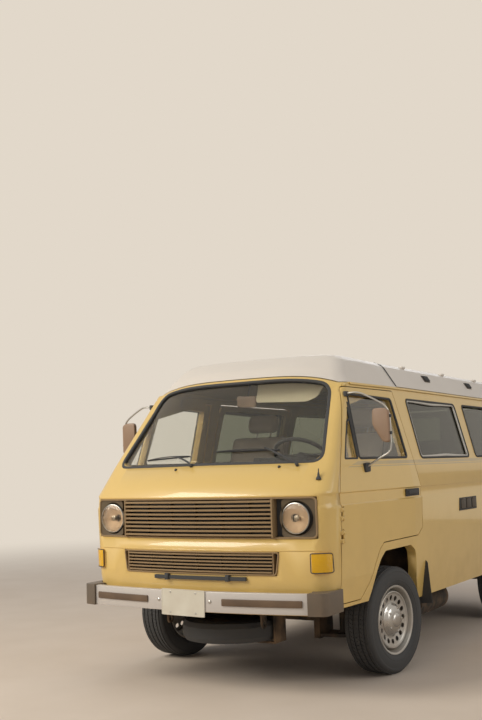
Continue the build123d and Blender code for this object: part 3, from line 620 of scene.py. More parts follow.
def soften(mesh: bpy.types.Mesh) -> None:
    """Shade a mesh smooth, with its real edges sharp."""
    mesh.shade_smooth()
    mesh.set_sharp_from_angle(angle=SHARP_ANGLE)


def finished_mesh(piece: Piece) -> bpy.types.Mesh:
    """Plain, shaded mesh of what an object's modifiers make.

    Args:
        piece: object with modifiers.

    Returns:
        The mesh.
    """
    bpy.context.view_layer.update()
    graph = bpy.context.evaluated_depsgraph_get()
    mesh = bpy.data.meshes.new_from_object(piece.evaluated_get(graph), depsgraph=graph)
    soften(mesh)
    return mesh


def quads(bands: Iterable[tuple[int, int]], count: int, wrapped: bool = True) -> Faces:
    """Four-sided faces between rows of points.

    Args:
        bands: numbers of the two rows of each band.
        count: points in a row.
        wrapped: whether a row's last point meets its first.

    Returns:
        The faces.
    """
    last = count if wrapped else count - 1
    return [
        (a * count + i, a * count + (i + 1) % count, b * count + (i + 1) % count, b * count + i)
        for a, b in bands for i in range(last)
    ]


def from_bmesh(work: bmesh.types.BMesh) -> Shape:
    """Shape of a finished bmesh.

    Args:
        work: the bmesh, which is freed.

    Returns:
        The shape.
    """
    work.verts.ensure_lookup_table()
    work.verts.index_update()
    shape = Shape([v.co.copy() for v in work.verts], [tuple(v.index for v in f.verts) for f in work.faces])
    work.free()
    return shape


def prism(outline: list[Vector], depth: Vector, bevel: float = 0.0, steps: int = 2) -> Shape:
    """Solid from a flat outline pushed along a direction.

    Args:
        outline: corners in order.
        depth: direction and length of the push.
        bevel: width of the rounded edges.
        steps: segments across each rounded edge.

    Returns:
        The solid.
    """
    work = bmesh.new()
    near = [work.verts.new(p) for p in outline]
    far = [work.verts.new(p + depth) for p in outline]
    work.faces.new(near)
    work.faces.new(far[::-1])
    count = len(outline)
    for i in range(count):
        j = (i + 1) % count
        work.faces.new((near[i], far[i], far[j], near[j]))
    bmesh.ops.recalc_face_normals(work, faces=work.faces)
    if bevel:
        bmesh.ops.bevel(work, geom=list(work.edges), offset=bevel, segments=steps, profile=0.5, affect="EDGES")
    return from_bmesh(work)


def slab(low: Triple, high: Triple, bevel: float = 0.003, steps: int = 2) -> Shape:
    """Box with rounded edges.

    Args:
        low: its lowest x, station and z.
        high: its highest x, station and z.
        bevel: width of the rounded edges.
        steps: segments across each rounded edge.

    Returns:
        The box.
    """
    (x0, s0, z0), (x1, s1, z1) = low, high
    outline = [Vector((x, at(s0), z)) for x, z in ((x0, z0), (x1, z0), (x1, z1), (x0, z1))]
    return prism(outline, Vector((0, s1 - s0, 0)), bevel, steps)


def revolve(profile: Outline, segments: int = 96) -> Shape:
    """Solid of revolution about local X.

    Args:
        profile: (x, radius) points of the closed section.
        segments: steps of the full turn.

    Returns:
        The solid.
    """
    verts = []
    for i in range(segments):
        turn = 2 * math.pi * i / segments
        verts += [Vector((x, r * math.cos(turn), r * math.sin(turn))) for x, r in profile]
    return Shape(verts, quads([(i, (i + 1) % segments) for i in range(segments)], len(profile)))


def facing(place: Vector, normal: Vector) -> Matrix:
    """Frame at a place, with X along a normal."""
    return Matrix.Translation(place) @ normal.to_track_quat("X", "Z").to_matrix().to_4x4()


def sweep(path: list[Vector], normals: list[Vector], profile: Outline, closed: bool) -> Shape:
    """Bar along a path with a profile that keeps to a normal.

    Args:
        path: points of the path.
        normals: outward direction at each point.
        profile: (sideways, outward) points of the section.
        closed: join the end to the start.

    Returns:
        The bar, capped if open.
    """
    verts = []
    count, size = len(path), len(profile)
    for i, point in enumerate(path):
        ahead = path[(i + 1) % count] if closed or i + 1 < count else point
        behind = path[i - 1] if closed or i else point
        along = (ahead - behind).normalized()
        across = normals[i].cross(along).normalized()
        out = along.cross(across).normalized()
        verts += [point + across * u + out * v for u, v in profile]
    faces = quads([(i, (i + 1) % count) for i in range(count if closed else count - 1)], size)
    if not closed:
        faces += [tuple(range(size)), tuple(reversed(range((count - 1) * size, count * size)))]
    return Shape(verts, faces)


def round_section(width: float, height: float) -> Outline:
    """Oval section of a bar, in eight steps."""
    return [(width / 2 * math.cos(math.pi * i / 4), height / 2 * math.sin(math.pi * i / 4)) for i in range(8)]


def rounded_loop(corners: Outline, radius: float, pitch: float = 0.04) -> Outline:
    """Closed outline with rounded corners and points along its sides.

    Args:
        corners: corners in order.
        radius: cut of each corner.
        pitch: longest step along a side.

    Returns:
        Points in order.
    """
    found: Outline = []
    count = len(corners)
    for i, corner in enumerate(corners):
        here = Vector(corner)
        before, after = Vector(corners[i - 1]), Vector(corners[(i + 1) % count])
        cut = min(radius, 0.45 * (before - here).length, 0.45 * (after - here).length)
        start = here + (before - here).normalized() * cut
        end = here + (after - here).normalized() * cut
        for k in range(7):
            t = k / 6
            found.append(tuple((1 - t) ** 2 * start + 2 * t * (1 - t) * here + t * t * end))
        following = after + (here - after).normalized() * min(radius, 0.45 * (after - here).length)
        steps = max(1, int((following - end).length / pitch))
        found += [tuple(end.lerp(following, k / steps)) for k in range(1, steps)]
    return found


def widened(corners: tuple[Pair, ...], grow: float = 0.003) -> Outline:
    """Outline pushed out from its middle.

    Args:
        corners: corners in order.
        grow: how far each corner moves, across and up.

    Returns:
        The new corners.
    """
    middle = sum((Vector(c) for c in corners), Vector((0, 0))) / len(corners)
    away = [Vector(c) - middle for c in corners]
    steps = [Vector((math.copysign(grow, a.x), math.copysign(grow, a.y))) for a in away]
    return [tuple(Vector(c) + step) for c, step in zip(corners, steps)]


class Skin:
    """Surface of chosen CAD nodes, for laying pieces on it."""

    def __init__(self, *nodes: str) -> None:
        """Gather the nodes' triangles."""
        verts, faces = [], []
        for name in nodes:
            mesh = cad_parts[name].data
            start = len(verts)
            verts += [v.co.copy() for v in mesh.vertices]
            faces += [[start + i for i in p.vertices] for p in mesh.polygons]
        self.tree = BVHTree.FromPolygons(verts, faces)

    def hit(self, start: Vector, heading: Vector, fallback: Vector) -> Spot:
        """First point met by a ray.

        Args:
            start: where the ray starts.
            heading: where it goes.
            fallback: the nearest point to this is taken where nothing is met.

        Returns:
            The point, and the outward normal there.
        """
        place, normal, _, _ = self.tree.ray_cast(start, heading)
        if place is None:
            place, normal, _, _ = self.tree.find_nearest(fallback)
        if normal.dot(heading) > 0:
            normal = -normal
        return place, normal

    def side(self, station: float, z: float, side: Side = Side.LEFT) -> Spot:
        """Point on a flank.

        Args:
            station: metres behind the front bumper's face.
            z: height.
            side: which flank.

        Returns:
            The point, and the outward normal there.
        """
        x = 1.4 * side.value
        near = Vector((0.9 * side.value, at(station), z))
        return self.hit(Vector((x, at(station), z)), Vector((-side.value, 0, 0)), near)

    def front(self, x: float, z: float) -> Spot:
        """Point on the nose."""
        return self.hit(Vector((x, -4.0, z)), Vector((0, 1, 0)), Vector((x, -2.0, z)))

    def back(self, x: float, z: float) -> Spot:
        """Point on the tail."""
        return self.hit(Vector((x, 4.0, z)), Vector((0, -1, 0)), Vector((x, 2.1, z)))

    def top(self, x: float, station: float) -> Spot:
        """Point on the roof."""
        return self.hit(Vector((x, at(station), 4.0)), Vector((0, 0, -1)), Vector((x, at(station), 2.0)))


# Geometry node trees


class Pattern:
    """Geometry Nodes trees that repeat a part or follow a path."""

    _trees: dict[str, Tree] = {}

    @classmethod
    def tree(cls, name: str, sockets: dict[str, str]) -> tuple[NodeKit, Node] | None:
        """Start one tree.

        Args:
            name: name of the tree.
            sockets: kind of each input by its name.

        Returns:
            The tree's kit and input node, or nothing where the tree exists.
        """
        if name in cls._trees:
            return None
        made = bpy.data.node_groups.new(name, "GeometryNodeTree")
        for label, kind in {"Geometry": "Geometry", **sockets, "Finish": "Material"}.items():
            made.interface.new_socket(label, in_out="INPUT", socket_type=f"NodeSocket{kind}")
        made.interface.new_socket("Geometry", in_out="OUTPUT", socket_type="NodeSocketGeometry")
        cls._trees[name] = made
        kit = NodeKit(made)
        return kit, kit.add("NodeGroupInput")

    @classmethod
    def close(cls, kit: NodeKit, enter: Node, geometry: Socket) -> None:
        """End a tree in Realize Instances and Set Material.

        Args:
            kit: the tree's kit.
            enter: its input node.
            geometry: what it has made.
        """
        real = kit.add("GeometryNodeRealizeInstances", {0: geometry}).outputs[0]
        dressed = kit.add("GeometryNodeSetMaterial", {"Geometry": real, "Material": enter.outputs["Finish"]})
        kit.tree.links.new(dressed.outputs[0], kit.add("NodeGroupOutput").inputs[0])

    @classmethod
    def run(cls, name: str, tree: str, start: bpy.types.Mesh, values: dict, finish: Look) -> Piece:
        """Evaluate a tree and keep the result as a plain mesh.

        Args:
            name: name of the new piece.
            tree: name of the tree.
            start: mesh that the tree starts from.
            values: inputs by name.
            finish: finish of the result.

        Returns:
            The new piece.
        """
        host = linked(f"{name}_host", start)
        modifier = host.modifiers.new("pattern", "NODES")
        modifier.node_group = cls._trees[tree]
        values = {**values, "Finish": finish.material()}
        for item in modifier.node_group.interface.items_tree:
            if item.in_out == "INPUT" and item.name in values:
                modifier[item.identifier] = values[item.name]
        mesh = finished_mesh(host)
        host.modifiers.remove(modifier)
        bpy.data.objects.remove(host)
        mesh.name = name
        return linked(name, mesh)

    @classmethod
    def repeat(cls, name: str, tree: str, part: Shape, finish: Look, values: dict) -> Piece:
        """Run a tree that repeats one part.

        Args:
            name: name of the new piece.
            tree: name of the tree.
            part: the part.
            finish: finish of the result.
            values: the tree's other inputs.

        Returns:
            The new piece.
        """
        source = part.object(f"{name}_part", finish)
        made = cls.run(name, tree, bpy.data.meshes.new(name), {"Part": source, **values}, finish)
        bpy.data.objects.remove(source)
        return made

    @classmethod
    def ring(cls, name: str, part: Shape, count: int, finish: Look, weld: float = 0.00001) -> Piece:
        """Copies of a part turned about local X.

        Args:
            name: name of the piece.
            part: one part, already at its radius.
            count: how many.
            finish: finish of the result.
            weld: distance at which neighbours join.

        Returns:
            The ring as one piece.
        """
        started = cls.tree("ring_of_parts", {"Part": "Object", "Count": "Int", "Weld": "Float"})
        if started:
            kit, enter = started
            part_node = kit.add("GeometryNodeObjectInfo", {"Object": enter.outputs["Part"]})
            line = kit.add("GeometryNodeMeshLine", {"Count": enter.outputs["Count"], "Offset": (0.0, 0.0, 0.0)})
            index = kit.add("GeometryNodeInputIndex")
            step = kit.math("DIVIDE", 2 * math.pi, enter.outputs["Count"])
            turn = kit.add("ShaderNodeCombineXYZ", {0: kit.times(index.outputs[0], step)})
            copies = kit.add(
                "GeometryNodeInstanceOnPoints",
                {"Points": line.outputs[0], "Instance": part_node.outputs["Geometry"], "Rotation": turn.outputs[0]},
            )
            real = kit.add("GeometryNodeRealizeInstances", {0: copies.outputs[0]})
            merged = kit.add(
                "GeometryNodeMergeByDistance", {"Geometry": real.outputs[0], "Distance": enter.outputs["Weld"]}
            )
            cls.close(kit, enter, merged.outputs[0])
        return cls.repeat(name, "ring_of_parts", part, finish, {"Count": count, "Weld": weld})

    @classmethod
    def row(cls, name: str, part: Shape, count: int, step: Vector, finish: Look) -> Piece:
        """Copies of a part at even steps along a line.

        Args:
            name: name of the piece.
            part: the first part, in place.
            count: how many.
            step: from one part to the next.
            finish: finish of the result.

        Returns:
            The row as one piece.
        """
        started = cls.tree("row_of_parts", {"Part": "Object", "Count": "Int", "Step": "Vector"})
        if started:
            kit, enter = started
            part_node = kit.add("GeometryNodeObjectInfo", {"Object": enter.outputs["Part"]})
            steps = {"Count": enter.outputs["Count"], "Offset": enter.outputs["Step"]}
            line = kit.add("GeometryNodeMeshLine", steps, mode="OFFSET")
            copies = kit.add(
                "GeometryNodeInstanceOnPoints", {"Points": line.outputs[0], "Instance": part_node.outputs["Geometry"]}
            )
            cls.close(kit, enter, copies.outputs[0])
        return cls.repeat(name, "row_of_parts", part, finish, {"Count": count, "Step": step})

    @classmethod
    def path(cls, name: str, points: list[Vector], radius: float, finish: Look, closed: bool = False) -> Piece:
        """Round bar or bead along a path.

        Args:
            name: name of the piece.
            points: points of the path.
            radius: radius of the bar.
            finish: finish of the result.
            closed: join the end to the start.

        Returns:
            The bar as one piece.
        """
        started = cls.tree("bar_on_path", {"Radius": "Float"})
        if started:
            kit, enter = started
            line = kit.add("GeometryNodeMeshToCurve", {"Mesh": enter.outputs["Geometry"]})
            section = kit.add("GeometryNodeCurvePrimitiveCircle", {"Resolution": 10, "Radius": enter.outputs["Radius"]})
            bar = kit.add(
                "GeometryNodeCurveToMesh",
                {"Curve": line.outputs[0], "Profile Curve": section.outputs[0], "Fill Caps": True},
            )
            cls.close(kit, enter, bar.outputs[0])
        mesh = bpy.data.meshes.new(name)
        count = len(points)
        edges = [(i, (i + 1) % count) for i in range(count if closed else count - 1)]
        mesh.from_pydata([tuple(p) for p in points], edges, [])
        return cls.run(name, "bar_on_path", mesh, {"Radius": radius}, finish)


def smooth_path(points: list[Vector], per: int = 6) -> list[Vector]:
    """Catmull-Rom curve through points.

    Args:
        points: what it passes through.
        per: steps between two of them.

    Returns:
        Points of the curve.
    """
    padded = [points[0], *points, points[-1]]
    found = []
    for a, b, c, d in zip(padded, padded[1:], padded[2:], padded[3:]):
        for k in range(per):
            t = k / per
            found.append(
                0.5 * ((2 * b) + (c - a) * t + (2 * a - 5 * b + 4 * c - d) * t * t + (3 * b - a - 3 * c + d) * t ** 3)
            )
    return [*found, points[-1]]


def copy_of(node: str, name: str, finish: Look, outer: bool | None = None, joined: bool = True) -> Piece:
    """Merged copy of a CAD node's mesh, ready to be reworked.

    Args:
        node: the CAD node.
        name: name of the copy.
        finish: its finish.
        outer: True keeps only what lies outside CAP_START, False only what lies inside.
        joined: whether triangles of one flat face become one face.

    Returns:
        The copy, with its doubles merged.
    """
    work = bmesh.new()
    work.from_mesh(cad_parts[node].data)
    bmesh.ops.remove_doubles(work, verts=work.verts, dist=2e-5)
    if outer is not None:
        gone = [f for f in work.faces if (abs(f.calc_center_median().x) > CAP_START) is not outer]
        bmesh.ops.delete(work, geom=gone, context="FACES")
    if joined:
        bmesh.ops.dissolve_limit(work, angle_limit=math.radians(0.6), verts=work.verts, edges=work.edges)
    mesh = bpy.data.meshes.new(name)
    work.to_mesh(mesh)
    work.free()
    mesh.materials.append(finish.material())
    return linked(name, mesh)


def apply_modifiers(piece: Piece) -> Piece:
    """Turn a piece's modifiers into plain mesh and shade it.

    Args:
        piece: object with modifiers.

    Returns:
        The same object, without them.
    """
    mesh = finished_mesh(piece)
    piece.modifiers.clear()
    piece.data = mesh
    return piece


def rounded(piece: Piece, width: float, segments: int = 3) -> Piece:
    """Round the sharp edges of a reworked copy.

    Args:
        piece: the copy.
        width: width of the rounding.
        segments: steps across it.

    Returns:
        The rounded copy.
    """
    bevel = piece.modifiers.new("round_edges", "BEVEL")
    bevel.width = width
    bevel.segments = segments
    bevel.limit_method = "ANGLE"
    bevel.angle_limit = math.radians(40)
    return apply_modifiers(piece)


def trimmed(piece: Piece, *boxes: tuple[tuple, tuple]) -> Piece:
    """Take boxes away from a reworked copy.

    Args:
        piece: the copy.
        boxes: lowest and highest corner of each box, as x, station, z.

    Returns:
        The trimmed copy.
    """
    for number, (low, high) in enumerate(boxes):
        cutter = slab(low, high, 0.0).object(f"{piece.name}_cutter_{number}", PAINT, False)
        cut = piece.modifiers.new("cut_away", "BOOLEAN")
        cut.operation = "DIFFERENCE"
        cut.solver = "EXACT"
        cut.object = cutter
        apply_modifiers(piece)
        bpy.data.objects.remove(cutter)
    return piece


@dataclass(frozen=True)
class Crown:
    """Arch of the windscreen's header and of the roof's brow over the plain solids."""

    half: float = 0.68
    rise: float = 0.06
    foot: float = 1.338
    head: float = 1.812
    shoulder: Pair = (1.9, 2.0)
    kept: float = 0.4
    fade: Pair = (1.0, 1.52)
    low_cuts: tuple[float, ...] = (1.46, 1.58, 1.7, 1.76)
    high_cuts: tuple[float, ...] = (1.9, 1.95, 2.0)
    station_cuts: tuple[float, ...] = (0.85, 1.0, 1.1, 1.2, 1.3, 1.4, 1.52)

    def point(self, place: Vector) -> Vector:
        """A point of the plain solids, raised by the arch.

        Args:
            place: the point.

        Returns:
            The raised point.
        """
        across = max(0.0, 1.0 - (abs(place.x) / self.half) ** 4)
        up = min(1.0, max(0.0, (place.z - self.foot) / (self.head - self.foot)))
        low, high = self.shoulder
        over = 1.0 - (1.0 - self.kept) * min(1.0, max(0.0, (place.z - low) / (high - low)))
        start, end = self.fade
        back = min(1.0, max(0.0, (place.y - FRONT_Y - start) / (end - start)))
        along = 1.0 - back * back * (3.0 - 2.0 * back)
        return place + Vector((0.0, 0.0, self.rise * across * up * over * along))

    def bend(self, piece: Piece) -> Piece:
        """Arch a reworked copy, cut finely enough to bend smoothly.

        Args:
            piece: the copy.

        Returns:
            The same copy.
        """
        work = bmesh.new()
        work.from_mesh(piece.data)
        heights = (self.foot, *self.low_cuts, self.head, *self.high_cuts)
        planes = [(Vector((0, 0, z)), Vector((0, 0, 1))) for z in heights]
        planes += [(Vector((0.04 * i, 0, 0)), Vector((1, 0, 0))) for i in range(-17, 18)]
        planes += [(Vector((0, at(s), 0)), Vector((0, 1, 0))) for s in self.station_cuts]
        for number, (place, normal) in enumerate(planes):
            near = [f for f in work.faces if number == 0 or min(v.co.z for v in f.verts) > self.foot - 0.001]
            near += list({edge for f in near for edge in f.edges}) + list({v for f in near for v in f.verts})
            bmesh.ops.bisect_plane(work, geom=near, dist=1e-5, plane_co=place, plane_no=normal)
        for vertex in work.verts:
            vertex.co = self.point(vertex.co)
        bmesh.ops.triangulate(work, faces=work.faces)
        work.to_mesh(piece.data)
        work.free()
        soften(piece.data)
        return piece


CROWN = Crown()
FORWARD = Matrix.Rotation(math.radians(-90), 4, "Z")


def settle(piece: Piece, body: str = "body", *replaced: str) -> Piece:
    """Ride a piece on its body and hide what it stands for.

    Args:
        piece: the finished piece.
        body: body that it moves with.
        replaced: CAD nodes that it stands for.

    Returns:
        The piece.
    """
    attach(piece, body)
    if replaced:
        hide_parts(*replaced)
    LOG.info("%s: %d faces on %s", piece.name, len(piece.data.polygons), body)
    return piece


# Assemblies

BACKGROUND = linear(226, 216, 202)


@dataclass
class Studio:
    """Camera at the photograph's angle, plain floor, backdrop and soft lamps."""

    eye: Triple = (3.373, -7.162, 1.319)
    azimuth: float = 31.18
    elevation: float = 6.19
    roll: float = -1.81
    lens: float = 49.25
    floor_size: float = 60.0
    aim: Triple = (0.0, -0.6, 0.9)

    def build(self) -> None:
        """Set up the camera, the floor and the light."""
        self.camera()
        self.floor()
        self.world()
        self.lamp("key_lamp", (-4.5, -7.5, 6.0), 4.5, 600.0, (1.0, 0.95, 0.86))
        self.lamp("side_lamp", (8.0, -1.5, 4.5), 5.0, 170.0, (1.0, 0.97, 0.92))
        self.lamp("rear_lamp", (-3.0, 7.5, 5.5), 5.0, 120.0, (0.95, 0.97, 1.0))
        bpy.context.scene.view_settings.view_transform = "Standard"

    def camera(self) -> None:
        """Camera solved from the photograph's edges."""
        turn, tip, lean = (math.radians(v) for v in (self.azimuth, self.elevation, self.roll))
        ahead = Vector((-math.sin(turn) * math.cos(tip), math.cos(turn) * math.cos(tip), math.sin(tip)))
        right = Vector((math.cos(turn), math.sin(turn), 0.0))
        up = right.cross(ahead)
        right, up = right * math.cos(lean) + up * math.sin(lean), up * math.cos(lean) - right * math.sin(lean)
        data = bpy.data.cameras.new("photo_camera")
        data.sensor_fit = "VERTICAL"
        data.sensor_height = 36.0
        data.lens = self.lens
        data.clip_end = 200.0
        made = linked("photo_camera", data)
        matrix = Matrix((right, up, -ahead)).transposed().to_4x4()
        matrix.translation = Vector(self.eye)
        made.matrix_world = matrix
        bpy.context.scene.camera = made

    def floor(self) -> None:
        """Pale ground under the tyres."""
        half = self.floor_size / 2
        mesh = bpy.data.meshes.new("floor")
        mesh.from_pydata([(-half, -half, 0), (half, -half, 0), (half, half, 0), (-half, half, 0)], [], [(0, 1, 2, 3)])
        material = bpy.data.materials.new("pale_ground")
        material.use_nodes = True
        kit = NodeKit(material.node_tree)
        place = kit.add("ShaderNodeTexCoord").outputs["Object"]
        noise = kit.add("ShaderNodeTexNoise", {"Vector": place, "Scale": 2.0, "Detail": 6.0})
        colour = kit.mix(noise.outputs["Fac"], linear(206, 190, 172), linear(220, 206, 190))
        shader = kit.add("ShaderNodeBsdfPrincipled", {"Base Color": colour, "Roughness": 0.9})
        reach = kit.add("ShaderNodeVectorMath", {0: place}, operation="LENGTH").outputs["Value"]
        far = kit.add("ShaderNodeMapRange", {0: reach, 1: 4.5, 2: 13.0}, interpolation_type="SMOOTHSTEP").outputs[0]
        seen = kit.add("ShaderNodeLightPath").outputs["Is Camera Ray"]
        glow = kit.add("ShaderNodeEmission", {"Color": BACKGROUND, "Strength": 1.0})
        share = kit.times(far, seen)
        mixed = kit.add("ShaderNodeMixShader", {0: share, 1: shader.outputs[0], 2: glow.outputs[0]})
        kit.add("ShaderNodeOutputMaterial", {"Surface": mixed.outputs[0]})
        mesh.materials.append(material)
        linked("floor", mesh)

    def world(self) -> None:
        """Soft even light, with a pale background for the camera, gloss and glass."""
        world = bpy.data.worlds.new("studio")
        world.use_nodes = True
        bpy.context.scene.world = world
        kit = NodeKit(world.node_tree)
        path = kit.add("ShaderNodeLightPath")
        seen = kit.math("MAXIMUM", path.outputs["Is Camera Ray"], path.outputs["Is Transmission Ray"])
        seen = kit.math("MAXIMUM", seen, kit.times(path.outputs["Is Glossy Ray"], 0.75))
        even = kit.add("ShaderNodeBackground", {"Color": linear(224, 226, 232), "Strength": 0.42})
        shown = kit.add("ShaderNodeBackground", {"Color": BACKGROUND, "Strength": 1.0})
        mixed = kit.add("ShaderNodeMixShader", {0: seen, 1: even.outputs[0], 2: shown.outputs[0]})
        kit.add("ShaderNodeOutputWorld", {"Surface": mixed.outputs[0]})

    def lamp(self, name: str, place: Triple, size: float, power: float, colour: Triple) -> None:
        """Area lamp aimed at the van.

        Args:
            name: name of the lamp.
            place: where it hangs.
            size: side of its square.
            power: watts.
            colour: its tint.
        """
        data = bpy.data.lights.new(name, "AREA")
        data.size = size
        data.energy = power
        data.color = colour
        made = linked(name, data)
        made.location = place
        made.rotation_euler = (Vector(self.aim) - Vector(place)).to_track_quat("-Z", "Y").to_euler()


@dataclass
class Wheels:
    """Four tyres and pierced steel wheels."""

    blocks: int = 78
    holes: int = 16
    hole_circle: float = 0.135
    hole_radius: float = 0.0155
    ribs: tuple[Pair, ...] = ((-0.067, 0.022), (-0.037, 0.026), (0.0, 0.032), (0.037, 0.026), (0.067, 0.022))

    def place(self, side: Side, axle: float, turned: bool) -> Matrix:
        """From the wheel's own frame, with X outward, to the van.

        Args:
            side: side of the van.
            axle: station of its axle.
            turned: whether it stands at the rest steer.

        Returns:
            The matrix.
        """
        spin = Matrix.Rotation(0.0 if side is Side.LEFT else math.pi, 4, "Z")
        seat = Matrix.Translation((side.value * HALF_TRACK, at(axle), TYRE_RADIUS)) @ spin
        if not turned:
            return seat
        pin = Vector((side.value * KINGPIN_X, at(axle), 0.0))
        return Matrix.Translation(pin) @ Matrix.Rotation(REST_STEER, 4, "Z") @ Matrix.Translation(-pin) @ seat

    def carcass(self) -> Shape:
        """Side walls and crown without the tread.

        Returns:
            The carcass.
        """
        flank = [
            (0.08, 0.2055), (0.0845, 0.214), (0.0925, 0.2235), (0.0975, 0.232), (0.1, 0.2425), (0.1016, 0.2435),
            (0.1018, 0.2475), (0.1008, 0.2485), (0.1024, 0.262), (0.1022, 0.276), (0.1, 0.29), (0.0978, 0.3),
            (0.0985, 0.3015), (0.0965, 0.307), (0.0925, 0.3135), (0.086, 0.3195), (0.078, 0.3232), (0.056, 0.324),
            (0.053, 0.3225), (0.017, 0.323),
        ]
        return revolve([*flank, *[(-x, r) for x, r in reversed(flank)]], 120)

    def tread(self) -> Shape:
        """One pitch of the tread: a block on each rib.

        Returns:
            The blocks.
        """
        pitch = 2 * math.pi * 0.3285 / self.blocks
        shape = Shape()
        for number, (middle, width) in enumerate(self.ribs):
            lean = 0.006 if number % 2 else -0.006
            low, high = 0.322, 0.3308 - 0.0022 * abs(middle) / 0.067
            half, long = width / 2, pitch * 0.46
            corners = []
            for y, inset in ((low, 0.0), (high - 0.0012, 0.0), (high, 0.0012)):
                for x, z in ((-half, -long), (half, -long), (half, long), (-half, long)):
                    across = x - math.copysign(inset, x)
                    corners.append(Vector((middle + across, y, z - math.copysign(inset, z) + lean * across / half)))
            shape.join(Shape(corners, [(0, 1, 2, 3), (8, 9, 10, 11), *quads(((0, 1), (1, 2)), 4)]))
        return shape

    def dish(self) -> Shape:
        """Barrel, rim edges and the raised ring of the disc.

        Returns:
            The pressed steel without its pierced ring.
        """
        barrel = [
            (-0.088, 0.2125), (-0.084, 0.2135), (-0.081, 0.205), (-0.06, 0.2), (-0.03, 0.186), (0.03, 0.186),
            (0.062, 0.199), (0.081, 0.205), (0.084, 0.2135), (0.088, 0.213), (0.0885, 0.209), (0.084, 0.201),
            (0.074, 0.1975), (0.062, 0.1945), (0.05, 0.19), (0.03, 0.181), (-0.03, 0.181), (-0.06, 0.195),
            (-0.084, 0.201), (-0.088, 0.208),
        ]
        ring = [
            (0.03, 0.1812), (0.046, 0.1795), (0.06, 0.178), (0.069, 0.1755), (0.0715, 0.171), (0.07, 0.167),
            (0.065, 0.164), (0.0625, 0.158), (0.0585, 0.158), (0.061, 0.165), (0.0655, 0.169), (0.067, 0.1712),
            (0.065, 0.1735), (0.056, 0.175), (0.044, 0.1765), (0.028, 0.178),
        ]
        hub = [(0.052, 0.113), (0.054, 0.106), (0.054, 0.0), (0.044, 0.0), (0.044, 0.108), (0.048, 0.114)]
        return revolve(barrel, 120).join(revolve(ring, 120), revolve(hub, 96))

    def sector(self) -> Shape:
        """One piece of the disc around one round hole.

        Returns:
            The piece, front and back.
        """
        half = math.pi / self.holes
        inner, outer = 0.1125, 0.1585
        low, high = 0.052, 0.0625
        count = 24

        def lift(radius: float) -> float:
            """Height of the coned disc at a radius."""
            return low + (radius - inner) * (high - low) / (outer - inner)

        rim_points, hole_points = [], []
        for i in range(count):
            turn = 2 * math.pi * (i + 0.5) / count
            u, v = math.cos(turn), math.sin(turn)
            reach = (outer - self.hole_circle) / abs(u) if u > 0 else (self.hole_circle - inner) / max(abs(u), 1e-6)
            scale = min(reach, half * self.hole_circle / max(abs(v), 1e-6))
            radius = self.hole_circle + u * scale
            rim_points.append((radius, v * scale / self.hole_circle))
            hole_points.append((self.hole_circle + u * self.hole_radius, v * self.hole_radius / self.hole_circle))
        for target in [(radius, angle) for radius in (inner, outer) for angle in (-half, half)]:
            gaps = [(r - target[0]) ** 2 + ((a - target[1]) * self.hole_circle) ** 2 for r, a in rim_points]
            rim_points[gaps.index(min(gaps))] = target
        verts = []
        for depth, outline in ((0.0, rim_points), (0.0, hole_points), (-0.004, hole_points), (-0.004, rim_points)):
            verts += [Vector((lift(r) + depth, r * math.cos(a), r * math.sin(a))) for r, a in outline]
        return Shape(verts, quads(((0, 1), (1, 2), (2, 3)), count))

    def cap(self) -> Shape:
        """Domed hub cap with a raised middle.

        Returns:
            The cap.
        """
        profile = [
            (0.05, 0.0), (0.05, 0.103), (0.0575, 0.1035), (0.061, 0.1), (0.064, 0.0955), (0.076, 0.0885),
            (0.084, 0.078), (0.089, 0.064), (0.0905, 0.052), (0.0915, 0.045), (0.097, 0.0415), (0.1005, 0.034),
            (0.102, 0.018), (0.1024, 0.0),
        ]
        return revolve(profile, 80)

    def build(self) -> None:
        """All four wheels."""
        for place, axle, turned in (("front", FRONT_AXLE, True), ("rear", REAR_AXLE, False)):
            for side in Side:
                name, matrix = f"{place}_{side.word}", self.place(side, axle, turned)
                body = f"{name}_wheel"
                for ring in (
                    Pattern.ring(f"tread_{name}", self.tread(), self.blocks, TYRE),
                    Pattern.ring(f"pierced_disc_{name}", self.sector(), self.holes, WHEEL, 0.0006),
                    Pattern.ring(f"cap_studs_{name}", self.stud(), 5, HUB),
                ):
                    ring.data.transform(matrix)
                    settle(ring, body)
                self.carcass().moved(matrix).fit(f"tyre_{name}_carcass", TYRE, body, f"tyre_{name}")
                self.dish().moved(matrix).fit(f"wheel_{name}_dish", WHEEL, body, f"rim_{name}")
                self.cap().moved(matrix).fit(f"hub_cap_{name}", HUB, body)

    def stud(self) -> Shape:
        """One rounded boss on the hub cap."""
        boss = revolve([(0.0, 0.0), (0.0, 0.0085), (0.006, 0.008), (0.0095, 0.005), (0.0105, 0.0)], 16)
        return boss.moved(Matrix.Translation((0.081, 0.0745, 0.0)))


